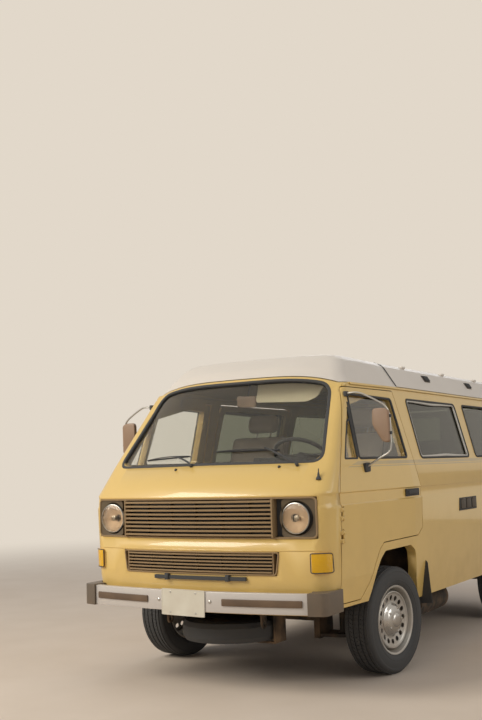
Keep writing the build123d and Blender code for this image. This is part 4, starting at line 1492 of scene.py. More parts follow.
@dataclass
class Shell:
    """Painted body, glass and roof from the CAD nodes, with seals and bright trim."""

    windscreen: tuple = ((-0.758, 1.338), (0.758, 1.338), (0.65, 1.812), (-0.65, 1.812))
    door_window: tuple = ((0.735, 1.752), (1.336, 1.74), (1.346, 1.352), (0.668, 1.352))
    quarter_light: tuple = ((0.682, 1.663), (0.64, 1.352), (0.484, 1.352))
    mid_window: tuple = ((1.605, 1.347), (2.626, 1.347), (2.614, 1.75), (1.616, 1.75))
    rear_window: tuple = ((2.792, 1.347), (3.778, 1.347), (3.7, 1.75), (2.804, 1.75))
    tail_window: tuple = ((-0.608, 1.352), (0.608, 1.352), (0.556, 1.742), (-0.556, 1.742))
    seal_radius: float = 0.0085
    lip: tuple = ((-0.011, -0.02), (-0.011, 0.002), (-0.007, 0.0055), (0.007, 0.0055), (0.011, 0.002), (0.011, -0.02))
    clip: tuple = ((-0.011, -0.006), (-0.01, 0.002), (-0.006, 0.005), (0.006, 0.005), (0.01, 0.002), (0.011, -0.006))
    gutter_z: float = 1.827
    gutter_run: Pair = (0.8, 3.52)

    def build(self) -> None:
        """Finishes first, then seals and trim."""
        self.dress()
        self.rework()
        nose = Skin("nose_panel")
        rim = rounded_loop(widened(self.windscreen), 0.07)
        found = [(CROWN.point(place), normal) for place, normal in (nose.front(x, z) for x, z in rim)]
        self.rim("windscreen_seal", found, 0.008, 0.002, self.lip, RUBBER)
        tail = Skin("tailgate")
        found = [tail.back(x, z) for x, z in rounded_loop(widened(self.tail_window), 0.05)]
        self.seal("tail_window_seal", found, "tail_gate")
        for side in Side:
            word, door = side.word, Skin(f"door_{side.word}")
            wall = Skin(f"side_wall_{word}") if side is Side.LEFT else Skin("side_wall_right", "sliding_door")
            for name, outline, rounding, skin, body in (
                ("door_window", self.door_window, 0.024, door, f"{word}_door"),
                ("quarter_light", self.quarter_light, 0.006, door, f"{word}_door"),
                ("mid_window", self.mid_window, 0.038, wall, "body"),
                ("rear_window", self.rear_window, 0.038, wall, "body"),
            ):
                found = [skin.side(s, z, side) for s, z in rounded_loop(widened(outline), rounding)]
                self.seal(f"{name}_seal_{word}", found, body, 0.006 if name == "quarter_light" else self.seal_radius)
                if name == "mid_window":
                    self.rim(f"{name}_frame_{word}", found, 0.017, 0.004, self.clip, BRIGHT)
            self.gutter(side)

    def dress(self) -> None:
        """Give each carried-over CAD node its finish."""
        for finish, names in CARRIED.items():
            for name in names.split():
                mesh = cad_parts[name].data
                mesh.materials.clear()
                mesh.materials.append(finish.material())

    def rework(self) -> None:
        """Arched header and brow, and lower edges as high as in the photograph."""
        nose = copy_of("nose_panel", "nose_shell", PAINT, joined=False)
        nose = trimmed(nose, ((-1.2, -0.2, 0.3), (1.2, 1.2, 0.466)))
        settle(CROWN.bend(nose), "body", "nose_panel")
        for side in Side:
            low, high = (0.0, 1.2) if side is Side.LEFT else (-1.2, 0.0)
            node = f"side_wall_{side.word}"
            wall = copy_of(node, f"{side.word}_flank_shell", PAINT)
            wall = trimmed(wall, ((low, -0.2, 0.3), (high, 0.9, 0.489)))
            settle(wall, "body", node)
        for node, name, finish in (
            ("windscreen", "windscreen_pane", PANE),
            ("luggage_tray", "cab_roof_moulding", ROOF_WHITE),
            ("roof_panel", "roof_shell", PAINT),
        ):
            bent = CROWN.bend(copy_of(node, name, finish, joined=finish is PANE))
            if finish is PANE:
                bent.data.shade_flat()
            settle(bent, "body", node)

    def seal(self, name: str, found: list[Spot], body: str, radius: float | None = None) -> None:
        """Rubber bead round an opening.

        Args:
            name: name of the piece.
            found: points and normals on the painted skin.
            body: body that it moves with.
            radius: radius of the bead.
        """
        points = [point - normal * 0.002 for point, normal in found]
        settle(Pattern.path(name, points, radius or self.seal_radius, RUBBER, True), body)

    def rim(self, name: str, found: list[Spot], inset: float, sunk: float, section: Outline, finish: Look) -> None:
        """Moulded rim that follows an opening.

        Args:
            name: name of the piece.
            found: points and normals on the painted skin.
            inset: how far it lies towards the opening's middle.
            sunk: how far it lies below the skin.
            section: (sideways, outward) points of its section.
            finish: its finish.
        """
        middle = sum((point for point, _ in found), Vector()) / len(found)
        path = [point + (middle - point).normalized() * inset - normal * sunk for point, normal in found]
        sweep(path, [normal for _, normal in found], section, True).fit(name, finish)

    def gutter(self, side: Side) -> None:
        """Rain gutter along the top of the flank.

        Args:
            side: side of the van.
        """
        skin = Skin(f"side_wall_{side.word}", "roof_panel", "nose_panel", "rear_frame")
        start, length = self.gutter_run
        path = []
        for i in range(60):
            point, _ = skin.side(start + length * i / 59, self.gutter_z - 0.005, side)
            path.append(Vector((point.x, point.y, self.gutter_z)))
        section = [
            (-0.006, -0.008), (-0.006, 0.008), (-0.003, 0.01), (0.008, 0.01), (0.008, 0.006), (-0.001, 0.006),
            (-0.001, -0.008),
        ]
        if side is Side.LEFT:
            section = [(-u, v) for u, v in reversed(section)]
        shape = sweep(path, [Vector((side.value, 0, 0))] * len(path), section, False)
        shape.fit(f"rain_gutter_{side.word}", PAINT)


CARRIED = {
    PAINT: "rear_frame sliding_door door_left door_right tailgate",
    ROOF_WHITE: "pop_top",
    PANE: "door_glass_left door_glass_right",
    TINTED: "side_glass tailgate_glass",
    UNDER: "floor_pan rear_deck wheel_housings frame_rails spare_carrier mud_flaps tanks",
    IRON: "front_axle rear_axle knuckle_left knuckle_right engine exhaust tow_points",
    TYRE: "spare_tyre",
    TAIL: "tail_lamps",
    SMOKED: "dashboard steering_wheel",
    LAMINATE: "cabinets",
    PLATE: "number_plates",
}


@dataclass
class Front:
    """Grilles, lamps, plate, bumper strips and small fittings of the nose."""

    face: float = 0.08
    grille_z: Pair = (0.9, 1.138)
    grille_half: float = 0.79
    slat_half: float = 0.527
    proud: float = 0.016
    slats: int = 9
    lower_z: Pair = (0.69, 0.826)
    lower_slats: int = 6
    lamp_x: float = 0.665
    lamp_z: float = 1.017

    def line(self, half: float, station: float, z: float, steps: int = 24) -> tuple[list[Vector], list[Vector]]:
        """Points and normals of a line that follows the bowed nose.

        Args:
            half: how far it reaches to each side.
            station: its station in the middle of the nose.
            z: its height.
            steps: pieces of the line.

        Returns:
            The points and the normals.
        """
        path, normals = [], []
        for i in range(steps + 1):
            x = half * (2 * i / steps - 1)
            path.append(Vector((x, at(station + bow(x)), z)))
            normals.append(Vector((x / FRONT_BOW, -1, 0)).normalized())
        return path, normals

    def slat(self, half: float, station: float, z: float, height: float, depth: float) -> Shape:
        """One slat, slightly rounded at its front.

        Args:
            half: how far it reaches to each side.
            station: station of its middle.
            z: height of its middle.
            height: its height.
            depth: its depth.

        Returns:
            The slat.
        """
        h, d, r = height / 2, depth / 2, 0.0015
        section = [(-h, -d), (h, -d), (h, d - r), (h - r, d), (-h + r, d), (-h, d - r)]
        path, normals = self.line(half, station, z)
        return sweep(path, normals, section, False)

    def upright(self, x: float, z: Pair, station: float, depth: float, width: float = 0.008) -> Shape:
        """Thin upright behind or beside the slats."""
        s = station + bow(x)
        return slab((x - width / 2, s, z[0]), (x + width / 2, s + depth, z[1]), 0.001, 1)

    def rim_frame(self, corners: Outline, rounding: float, width: float, depth: float) -> Shape:
        """Frame round a grille, following the nose.

        Args:
            corners: its corners, as x and z.
            rounding: cut of each corner.
            width: width of its bar.
            depth: how far it reaches back.

        Returns:
            The frame.
        """
        loop = rounded_loop(corners, rounding)
        path = [Vector((x, at(self.face + 0.004 + bow(x)), z)) for x, z in loop]
        normals = [Vector((0, -1, 0))] * len(path)
        half, cut, lip = width / 2, 0.0025, 0.0035
        section = [(-half, -depth), (half, -depth), (half, 0.0), (half - cut, lip), (-half + cut, lip), (-half, 0.0)]
        return sweep(path, normals, section, True)

    def upper_grille(self) -> None:
        """Slats, frame and the dark gaps beside the lamps."""
        low, high = self.grille_z
        pitch = (high - low - 0.02) / self.slats
        foot = low + 0.01 + 0.5 * pitch
        first = self.slat(self.slat_half, self.face + 0.01 - self.proud, foot, 0.5 * pitch, 0.02)
        row = Pattern.row("upper_grille_slats", first, self.slats, Vector((0, 0, pitch)), NOSE_TRIM)
        settle(row, "body", "grilles")
        edge = self.grille_half - 0.005
        corners = [(-edge, low + 0.005), (edge, low + 0.005), (edge, high - 0.005), (-edge, high - 0.005)]
        frame_part = self.rim_frame(corners, 0.03, 0.011, 0.038)
        for x in (-self.slat_half - 0.004, self.slat_half + 0.004):
            frame_part.join(self.upright(x, (low + 0.008, high - 0.008), self.face - self.proud - 0.002, 0.058, 0.01))
        frame_part.fit("upper_grille_frame", NOSE_TRIM)
        backing = Shape()
        for x in (-0.364, -0.182, 0.0, 0.182, 0.364):
            backing.join(self.upright(x, (low + 0.009, high - 0.009), self.face + 0.02, 0.02))
        path, normals = self.line(self.grille_half - 0.01, self.face + 0.043, (low + high) / 2)
        half = (high - low) / 2 - 0.01
        backing.join(sweep(path, normals, [(-half, -0.002), (half, -0.002), (half, 0.002), (-half, 0.002)], False))
        backing.fit("upper_grille_backing", SMOKED)

    def lower_grille(self) -> None:
        """Six slats in a slanted frame."""
        low, high = self.lower_z
        pitch = (high - low - 0.018) / self.lower_slats
        first = self.slat(0.516, self.face + 0.008, low + 0.009 + 0.5 * pitch, 0.48 * pitch, 0.02)
        row = Pattern.row("lower_grille_slats", first, self.lower_slats, Vector((0, 0, pitch)), NOSE_TRIM)
        for vertex in row.data.vertices:
            vertex.co.x *= 0.985 + 0.03 * (vertex.co.z - low) / (high - low)
        settle(row)
        corners = [(-0.536, low + 0.005), (0.536, low + 0.005), (0.555, high - 0.005), (-0.555, high - 0.005)]
        self.rim_frame(corners, 0.018, 0.01, 0.034).fit("lower_grille_frame", NOSE_TRIM)
        ends = Shape()
        for x in (-0.521, 0.521):
            ends.join(self.upright(x, (low + 0.008, high - 0.008), self.face + 0.001, 0.034, 0.008))
        ends.fit("lower_grille_ends", NOSE_TRIM)
        backing = Shape()
        for x in (-0.35, -0.175, 0.0, 0.175, 0.35):
            backing.join(self.upright(x, (low + 0.008, high - 0.008), self.face + 0.018, 0.02))
        path, normals = self.line(0.535, self.face + 0.04, (low + high) / 2)
        half = (high - low) / 2 - 0.008
        backing.join(sweep(path, normals, [(-half, -0.002), (half, -0.002), (half, 0.002), (-half, 0.002)], False))
        backing.fit("lower_grille_backing", SMOKED)
        bar = self.slat(0.325, self.face - 0.002, 0.67, 0.022, 0.018).moved(Matrix.Translation((0.026, 0.004, 0)))
        for x in (-0.2, 0.232):
            s = self.face - 0.016 + bow(x)
            bar.join(slab((x - 0.013, s, 0.654), (x + 0.013, s + 0.03, 0.692), 0.003))
        bar.fit("lower_grille_bar", SMOKED)

    def bezel(self) -> Shape:
        """Left lamp's square surround with its round opening.

        Returns:
            The surround.
        """
        inner, outer = 0.578, 0.78
        low, high = 0.9095, 1.1285
        square = [(inner, low), (outer, low), (outer, high), (inner, high)]
        loop = rounded_loop(square, 0.024, 0.01)
        verts: list[Vector] = []

        def ring(radius: float | None, station: float) -> None:
            """Add one loop of points, square where no radius is given.

            Args:
                radius: radius of a round loop.
                station: its station.
            """
            for x, z in loop:
                away = Vector((x - self.lamp_x, z - self.lamp_z))
                if radius is not None:
                    away = away.normalized() * radius
                px, pz = self.lamp_x + away.x, self.lamp_z + away.y
                fall = bow(self.lamp_x) + (bow(px) - bow(self.lamp_x)) * 0.8
                verts.append(Vector((px, at(station + fall), pz)))

        steps = ((None, 0.048), (None, 0.01), (0.101, 0.012), (0.0965, 0.018), (0.09, 0.04), (0.09, 0.048))
        for radius, depth in steps:
            ring(radius, self.face + depth)
        return Shape(verts, quads([(i, (i + 1) % len(steps)) for i in range(len(steps))], len(loop)))

    def lamps(self) -> None:
        """Glass, bowl, bulb shield, bright ring and surround of both headlamps."""
        station = 0.129
        seat = Matrix.Translation((self.lamp_x, at(station), self.lamp_z)) @ FORWARD
        dome = [(0.0, 0.0), (0.0008, 0.02), (0.003, 0.04), (0.0068, 0.06), (0.0125, 0.078), (0.016, 0.084)]
        back = [(x + 0.003, r * 0.985) for x, r in reversed(dome)]
        lens = revolve([(-x, r) for x, r in [*dome, *back]], 72)
        bowl = [
            (-0.0545, 0.0), (-0.0535, 0.014), (-0.049, 0.036), (-0.039, 0.06), (-0.025, 0.078), (-0.018, 0.084),
            (-0.018, 0.0865), (-0.027, 0.08), (-0.0565, 0.036), (-0.0565, 0.0),
        ]
        reflector = revolve(bowl, 72)
        shield = revolve([(-0.022, 0.0), (-0.0225, 0.01), (-0.026, 0.016), (-0.05, 0.012), (-0.05, 0.0)], 32)
        ring = revolve([(-0.015, 0.0835), (-0.0125, 0.085), (-0.0135, 0.0885), (-0.022, 0.089), (-0.022, 0.084)], 72)
        for side in Side:
            word = side.word
            lens.moved(seat).on(side).fit(f"headlamp_glass_{word}", LAMP_GLASS, "body", "headlamps")
            reflector.moved(seat).on(side).fit(f"headlamp_bowl_{word}", LAMP_BOWL)
            shield.moved(seat).on(side).fit(f"headlamp_bulb_shield_{word}", BRIGHT)
            ring.moved(seat).on(side).fit(f"headlamp_ring_{word}", BRIGHT)
            self.bezel().on(side).fit(f"headlamp_surround_{word}", BEZEL)

    def bumper(self) -> None:
        """Bars with rubber strips, moulded caps, corner lamps and bolt heads."""
        settle(rounded(copy_of("bumper_trim", "bumper_strips", STRIP, False), 0.004), "body", "bumper_trim")
        settle(rounded(copy_of("bumper_trim", "bumper_caps", CAP, True), 0.02, 4))
        settle(rounded(copy_of("bumpers", "bumper_bars", BUMPER), 0.006), "body", "bumpers")
        lamps = trimmed(
            copy_of("corner_lamps", "corner_lamp_lenses", AMBER),
            ((-0.754, -0.2, 0.5), (0.754, 0.5, 1.0)), ((-1.2, 0.225, 0.5), (1.2, 0.5, 1.0)),
        )
        settle(rounded(lamps, 0.004), "body", "corner_lamps")
        bolt = revolve([(0.0, 0.0), (0.0, 0.01), (0.003, 0.0095), (0.0055, 0.006), (0.0062, 0.0)], 20)
        bolts = Shape()
        for x in (-0.21, 0.155):
            bolts.join(bolt.moved(Matrix.Translation((x, at(bow(x)), 0.545)) @ FORWARD))
        bolts.fit("bumper_bolts", BRIGHT)

    def plate(self) -> None:
        """Raised edge and screws of the blank front plate."""
        tilt = Matrix.Translation((-0.03, at(-0.0035), 0.534)) @ Matrix.Rotation(math.radians(1.0), 4, "Y")
        loop = rounded_loop([(-0.1515, -0.075), (0.1515, -0.075), (0.1515, 0.075), (-0.1515, 0.075)], 0.012)
        path = [tilt @ Vector((x, 0, z)) for x, z in loop]
        edge = sweep(path, [Vector((0, -1, 0))] * len(path), round_section(0.004, 0.003), True)
        edge.fit("front_plate_edge", PLATE)
        screw = revolve([(0.0, 0.0), (0.0, 0.006), (0.0015, 0.0055), (0.0025, 0.003), (0.0028, 0.0)], 16)
        screws = Shape()
        for x in (-0.09, 0.09):
            for z in (-0.058, 0.058):
                screws.join(screw.moved(tilt @ Matrix.Translation((x, 0, z)) @ FORWARD))
        screws.fit("front_plate_screws", BRIGHT)

    def wipers(self) -> None:
        """Arms with blades parked across the bottom of the windscreen."""
        nose = Skin("nose_panel", "windscreen")

        def over(start: Pair, end: Pair, t: float, rise: float) -> Vector:
            """Point part of the way along a line, a little off the nose or glass."""
            point, normal = nose.front(start[0] + (end[0] - start[0]) * t, start[1] + (end[1] - start[1]) * t)
            return CROWN.point(point + normal * rise)

        arms, blades = Shape(), Shape()
        knuckle = revolve([(-0.01, 0.0), (-0.01, 0.011), (0.016, 0.011), (0.021, 0.006), (0.022, 0.0)], 24)
        rubber = [(-0.003, -0.004), (0.003, -0.004), (0.004, 0.003), (-0.004, 0.003)]
        fifths, tenths = (0.0, 0.2, 0.4, 0.6, 0.8, 1.0), [i / 10 for i in range(11)]
        for pivot, elbow, low, high in (
            ((-0.12, 1.332), (-0.27, 1.38), (-0.52, 1.372), (-0.17, 1.386)),
            ((0.61, 1.318), (0.36, 1.412), (0.02, 1.405), (0.46, 1.404)),
        ):
            base, normal = nose.front(*pivot)
            arms.join(knuckle.moved(facing(base, normal)))
            arm = [over(pivot, elbow, t, 0.016 + 0.01 * math.sin(math.pi * t)) for t in fifths]
            spine = [over(low, high, t, 0.006 + 0.012 * math.sin(math.pi * t)) for t in tenths]
            edge = [over(low, high, t, 0.004) for t in tenths]
            arms.join(sweep(arm, [normal] * len(arm), round_section(0.013, 0.007), False))
            arms.join(sweep(spine, [normal] * len(spine), round_section(0.006, 0.006), False))
            blades.join(sweep(edge, [normal] * len(edge), rubber, False))
        arms.fit("wiper_arms", SMOKED, "body", "wipers")
        blades.fit("wiper_blades", RUBBER)

    def crease(self) -> None:
        """Raised body line over the lower grille, from corner to corner."""
        nose = Skin("nose_panel")
        points = [nose.front(-0.84 + 0.04 * i, 0.8335) for i in range(43)]
        path = [place - normal * 0.0022 for place, normal in points]
        settle(Pattern.path("nose_body_line", path, 0.0048, PAINT))

    def fittings(self) -> None:
        """Washer jets and the aerial."""
        nose = Skin("nose_panel")
        jets = Shape()
        for x in (-0.23, 0.5):
            point, normal = nose.front(x, 1.312)
            jet = revolve([(-0.003, 0.0), (-0.003, 0.01), (0.004, 0.009), (0.009, 0.005), (0.01, 0.0)], 20)
            jets.join(jet.moved(facing(point, normal)))
        jets.fit("washer_jets", SMOKED)
        base, _ = nose.front(0.77, 1.235)
        cone = [(-0.004, 0.0), (-0.004, 0.016), (0.006, 0.015), (0.018, 0.008), (0.04, 0.005), (0.042, 0.0)]
        tip = base + Vector((-0.004, 0.012, 0.06))
        revolve(cone, 24).moved(facing(base, (tip - base).normalized())).fit("aerial_foot", SMOKED)
        settle(Pattern.path("aerial_stub", [base, tip], 0.0032, SMOKED))

    def build(self) -> None:
        """Everything on the nose."""
        self.upper_grille()
        self.lower_grille()
        self.lamps()
        self.bumper()
        self.plate()
        self.wipers()
        self.crease()
        self.fittings()


@dataclass
class Doors:
    """Handles, mirrors, quarter-light posts and the sliding door's rail."""

    handle: Pair = (1.325, 1.118)

    def build(self) -> None:
        """Fit both front doors, the sliding door and the tailgate."""
        for side in Side:
            word = side.word
            skin = Skin(f"door_{word}")
            self.pull(f"door_handle_{word}", skin, self.handle, side, f"{word}_door")
            self.divider(side)
            self.mirror(side)
        self.pull("sliding_door_handle", Skin("sliding_door"), (1.69, 1.118), Side.RIGHT, "body")
        self.tail_handle()
        self.sliding_rail()

    def pull(self, name: str, skin: Skin, place: Pair, side: Side, body: str) -> None:
        """Paddle handle with a lock barrel.

        Args:
            name: name of the piece.
            skin: painted surface that it sits on.
            place: station and height of its middle.
            side: side of the van.
            body: body that it moves with.
        """
        station, z = place
        point, _ = skin.side(station, z, side)
        x = abs(point.x)
        shape = slab((x - 0.004, station - 0.112, z - 0.024), (x + 0.007, station + 0.112, z + 0.024), 0.004, 3)
        shape.join(slab((x + 0.004, station - 0.096, z - 0.012), (x + 0.02, station + 0.06, z + 0.014), 0.006, 3))
        shape.join(slab((x + 0.004, station - 0.104, z - 0.016), (x + 0.012, station - 0.084, z + 0.016), 0.003))
        lock = revolve([(0.0, 0.0), (0.0, 0.011), (0.006, 0.0105), (0.007, 0.008), (0.0062, 0.0)], 24)
        shape.join(lock.moved(Matrix.Translation((x + 0.006, at(station + 0.086), z))))
        shape.on(side).fit(name, SMOKED, body)

    def divider(self, side: Side) -> None:
        """Black post between the quarter light and the drop glass.

        Args:
            side: side of the van.
        """
        skin = Skin(f"door_{side.word}")
        foot, head = (0.6525, 1.357), (0.708, 1.7)
        path, normals = [], []
        for i in range(13):
            t = i / 12
            point, normal = skin.side(foot[0] + (head[0] - foot[0]) * t, foot[1] + (head[1] - foot[1]) * t, side)
            path.append(point)
            normals.append(normal)
        section = [(-0.012, -0.003), (0.012, -0.003), (0.012, 0.001), (0.009, 0.003), (-0.009, 0.003), (-0.012, 0.001)]
        post = sweep(path, normals, section, False)
        post.fit(f"quarter_light_post_{side.word}", SMOKED, f"{side.word}_door")

    def mirror(self, side: Side) -> None:
        """Looped tube arm, housing and glass.

        Args:
            side: side of the van.
        """
        word, body = side.word, f"{side.word}_door"
        path = [
            Vector((x * side.value, at(s), z)) for x, s, z in (
                (0.742, 0.706, 1.752), (0.805, 0.712, 1.757), (0.85, 0.716, 1.748), (0.938, 0.724, 1.703),
                (0.99, 0.732, 1.668), (1.014, 0.738, 1.63), (1.022, 0.742, 1.575), (1.022, 0.742, 1.48),
                (1.021, 0.741, 1.41), (1.004, 0.738, 1.376), (0.95, 0.733, 1.348), (0.866, 0.726, 1.297),
            )
        ]
        arm = Pattern.path(f"mirror_arm_{word}", smooth_path(path), 0.0062, BRIGHT)
        settle(arm, body, f"mirror_{word}")
        shell = [(0.912, 1.548), (0.978, 1.444), (1.021, 1.438), (1.023, 1.636), (0.99, 1.652), (0.915, 1.652)]
        outline = [Vector((x, at(0.716), z)) for x, z in rounded_loop(shell, 0.026, 0.2)]
        head = prism(outline, Vector((0, 0.03, 0)), 0.007, 3)
        head.on(side).fit(f"mirror_housing_{word}", MIRROR_SHELL, body)
        small = [(0.92, 1.552), (0.983, 1.453), (1.013, 1.448), (1.015, 1.632), (0.986, 1.644), (0.923, 1.644)]
        outline = [Vector((x, at(0.7455), z)) for x, z in rounded_loop(small, 0.02, 0.2)]
        pane = prism(outline, Vector((0, 0.002, 0)), 0.0005, 1)
        pane.on(side).fit(f"mirror_glass_{word}", MIRRORED, body)
        clamps = Shape()
        for z in (1.498, 1.602):
            clamps.join(slab((1.006, 0.73, z - 0.01), (1.031, 0.752, z + 0.01), 0.003))
        foot = rounded_loop([(0.69, 1.262), (0.764, 1.266), (0.76, 1.322), (0.694, 1.318)], 0.012, 0.2)
        clamps.join(prism([Vector((0.848, at(s), z)) for s, z in foot], Vector((0.026, 0, 0)), 0.005, 3))
        clamps.join(slab((0.738, 0.69, 1.735), (0.76, 0.73, 1.768), 0.004))
        clamps.on(side).fit(f"mirror_clamps_{word}", SMOKED, body)

    def tail_handle(self) -> None:
        """Grip and lock of the tailgate."""
        point, _ = Skin("tailgate").back(0.0, 0.955)
        station = point.y - FRONT_Y
        shape = slab((-0.085, station - 0.004, 0.93), (0.085, station + 0.012, 0.982), 0.006, 3)
        shape.join(slab((-0.06, station + 0.008, 0.944), (0.03, station + 0.026, 0.968), 0.006, 3))
        shape.fit("tailgate_handle", SMOKED, "tail_gate")

    def sliding_rail(self) -> None:
        """Centre rail that the sliding door runs on."""
        skin = Skin("side_wall_right")
        path = [skin.side(2.72 + 1.35 * i / 20, 1.118, Side.RIGHT)[0] for i in range(21)]
        half = [(-0.014, -0.004), (-0.014, 0.006), (-0.006, 0.006), (-0.004, 0.001)]
        section = [*half, *[(-u, v) for u, v in reversed(half)]]
        rail = sweep(path, [Vector((-1, 0, 0))] * len(path), section, False)
        rail.fit("sliding_door_rail", PAINT)


@dataclass
class RoofKit:
    """Fittings of the rising roof, its folded canvas and the tray's edge."""

    vents: tuple[float, ...] = (2.3, 3.294)
    lugs: tuple[float, ...] = (1.99, 2.834, 3.654)
    folds: int = 8
    canvas_half: float = 0.56
    canvas_ends: Pair = (1.64, 3.912)
    canvas_z: Pair = (1.884, 1.926)
    fold_depth: float = 0.034

    def build(self) -> None:
        """Latch plates, lugs, seal and canvas."""
        skin = Skin("pop_top")
        for side in Side:
            for number, station in enumerate(self.vents):
                self.vent(f"roof_vent_{side.word}_{number}", skin, station, side)
            shape = Shape()
            for station in self.lugs:
                point, _ = skin.top(0.612 * side.value, station)
                low, high = point.z - 0.006, point.z + 0.012
                shape.join(slab((0.596, station - 0.03, low), (0.63, station + 0.03, high), 0.005, 3).on(side))
            shape.fit(f"roof_lugs_{side.word}", ROOF_WHITE, "rising_roof")
        self.front_seal()
        self.canvas()

    def vent(self, name: str, skin: Skin, station: float, side: Side) -> None:
        """Small latch plate with four ribs on the roof's flank.

        Args:
            name: name of the plate.
            skin: surface of the rising roof.
            station: its station.
            side: side of the van.
        """
        point, normal = skin.side(station, 1.942, side)
        along = Vector((0, 1, 0))
        up = normal.cross(along).normalized() * -side.value
        seat = Matrix((along, up, normal)).transposed().to_4x4()
        seat.translation = point
        plate = [Vector((u, v, -0.002)) for u, v in ((-0.055, -0.03), (0.055, -0.03), (0.055, 0.03), (-0.055, 0.03))]
        prism(plate, Vector((0, 0, 0.007)), 0.002).moved(seat).fit(name, GREY_PLASTIC, "rising_roof")
        bar = [Vector((u, v, 0.005)) for u, v in ((-0.046, -0.022), (-0.03, -0.022), (-0.03, 0.024), (-0.046, 0.024))]
        rib = prism(bar, Vector((0, 0, 0.009)), 0.002).moved(seat)
        settle(Pattern.row(f"{name}_ribs", rib, 4, along * 0.0253, SMOKED), "rising_roof")

    def front_seal(self) -> None:
        """Rubber bead in the seam between the fixed tray and the rising roof."""
        skin = Skin("luggage_tray")
        station = 1.545
        left = [skin.side(station, 1.846 + 0.012 * i) for i in range(12)]
        left += [skin.top(0.632 - 0.045 * i, station) for i in range(14)]
        path = [point - normal * 0.001 + Vector((0, 0.006, 0)) for point, normal in left]
        path += [Vector((-p.x, p.y, p.z)) for p in reversed(path)]
        settle(Pattern.path("roof_seam_bead", path, 0.0062, RUBBER))

    def canvas(self) -> None:
        """Fan-folded tent wall between the roof and the rising roof."""
        front, rear = self.canvas_ends
        low, high = self.canvas_z
        half = self.canvas_half
        levels = []
        for offset in (0.0, 0.0016):
            for level in range(self.folds + 1):
                inset = self.fold_depth * (level % 2) + offset
                x, s0, s1 = half - inset, front + inset, rear - inset
                z = low + (high - low) * level / self.folds
                loop = rounded_loop([(-x, s0), (x, s0), (x, s1), (-x, s1)], 0.05, 0.08)
                levels.append([Vector((x, at(s), z)) for x, s in loop])
        count = min(len(loop) for loop in levels)
        verts = [v for loop in levels for v in loop[:count]]
        rows = self.folds + 1
        bands = [(sheet + level, sheet + level + 1) for sheet in (0, rows) for level in range(self.folds)]
        faces = quads([*bands, (0, rows), (self.folds, rows + self.folds)], count)
        piece = Shape(verts, faces).object("tent_wall", CANVAS)
        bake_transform(piece)
        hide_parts("tent_canvas")


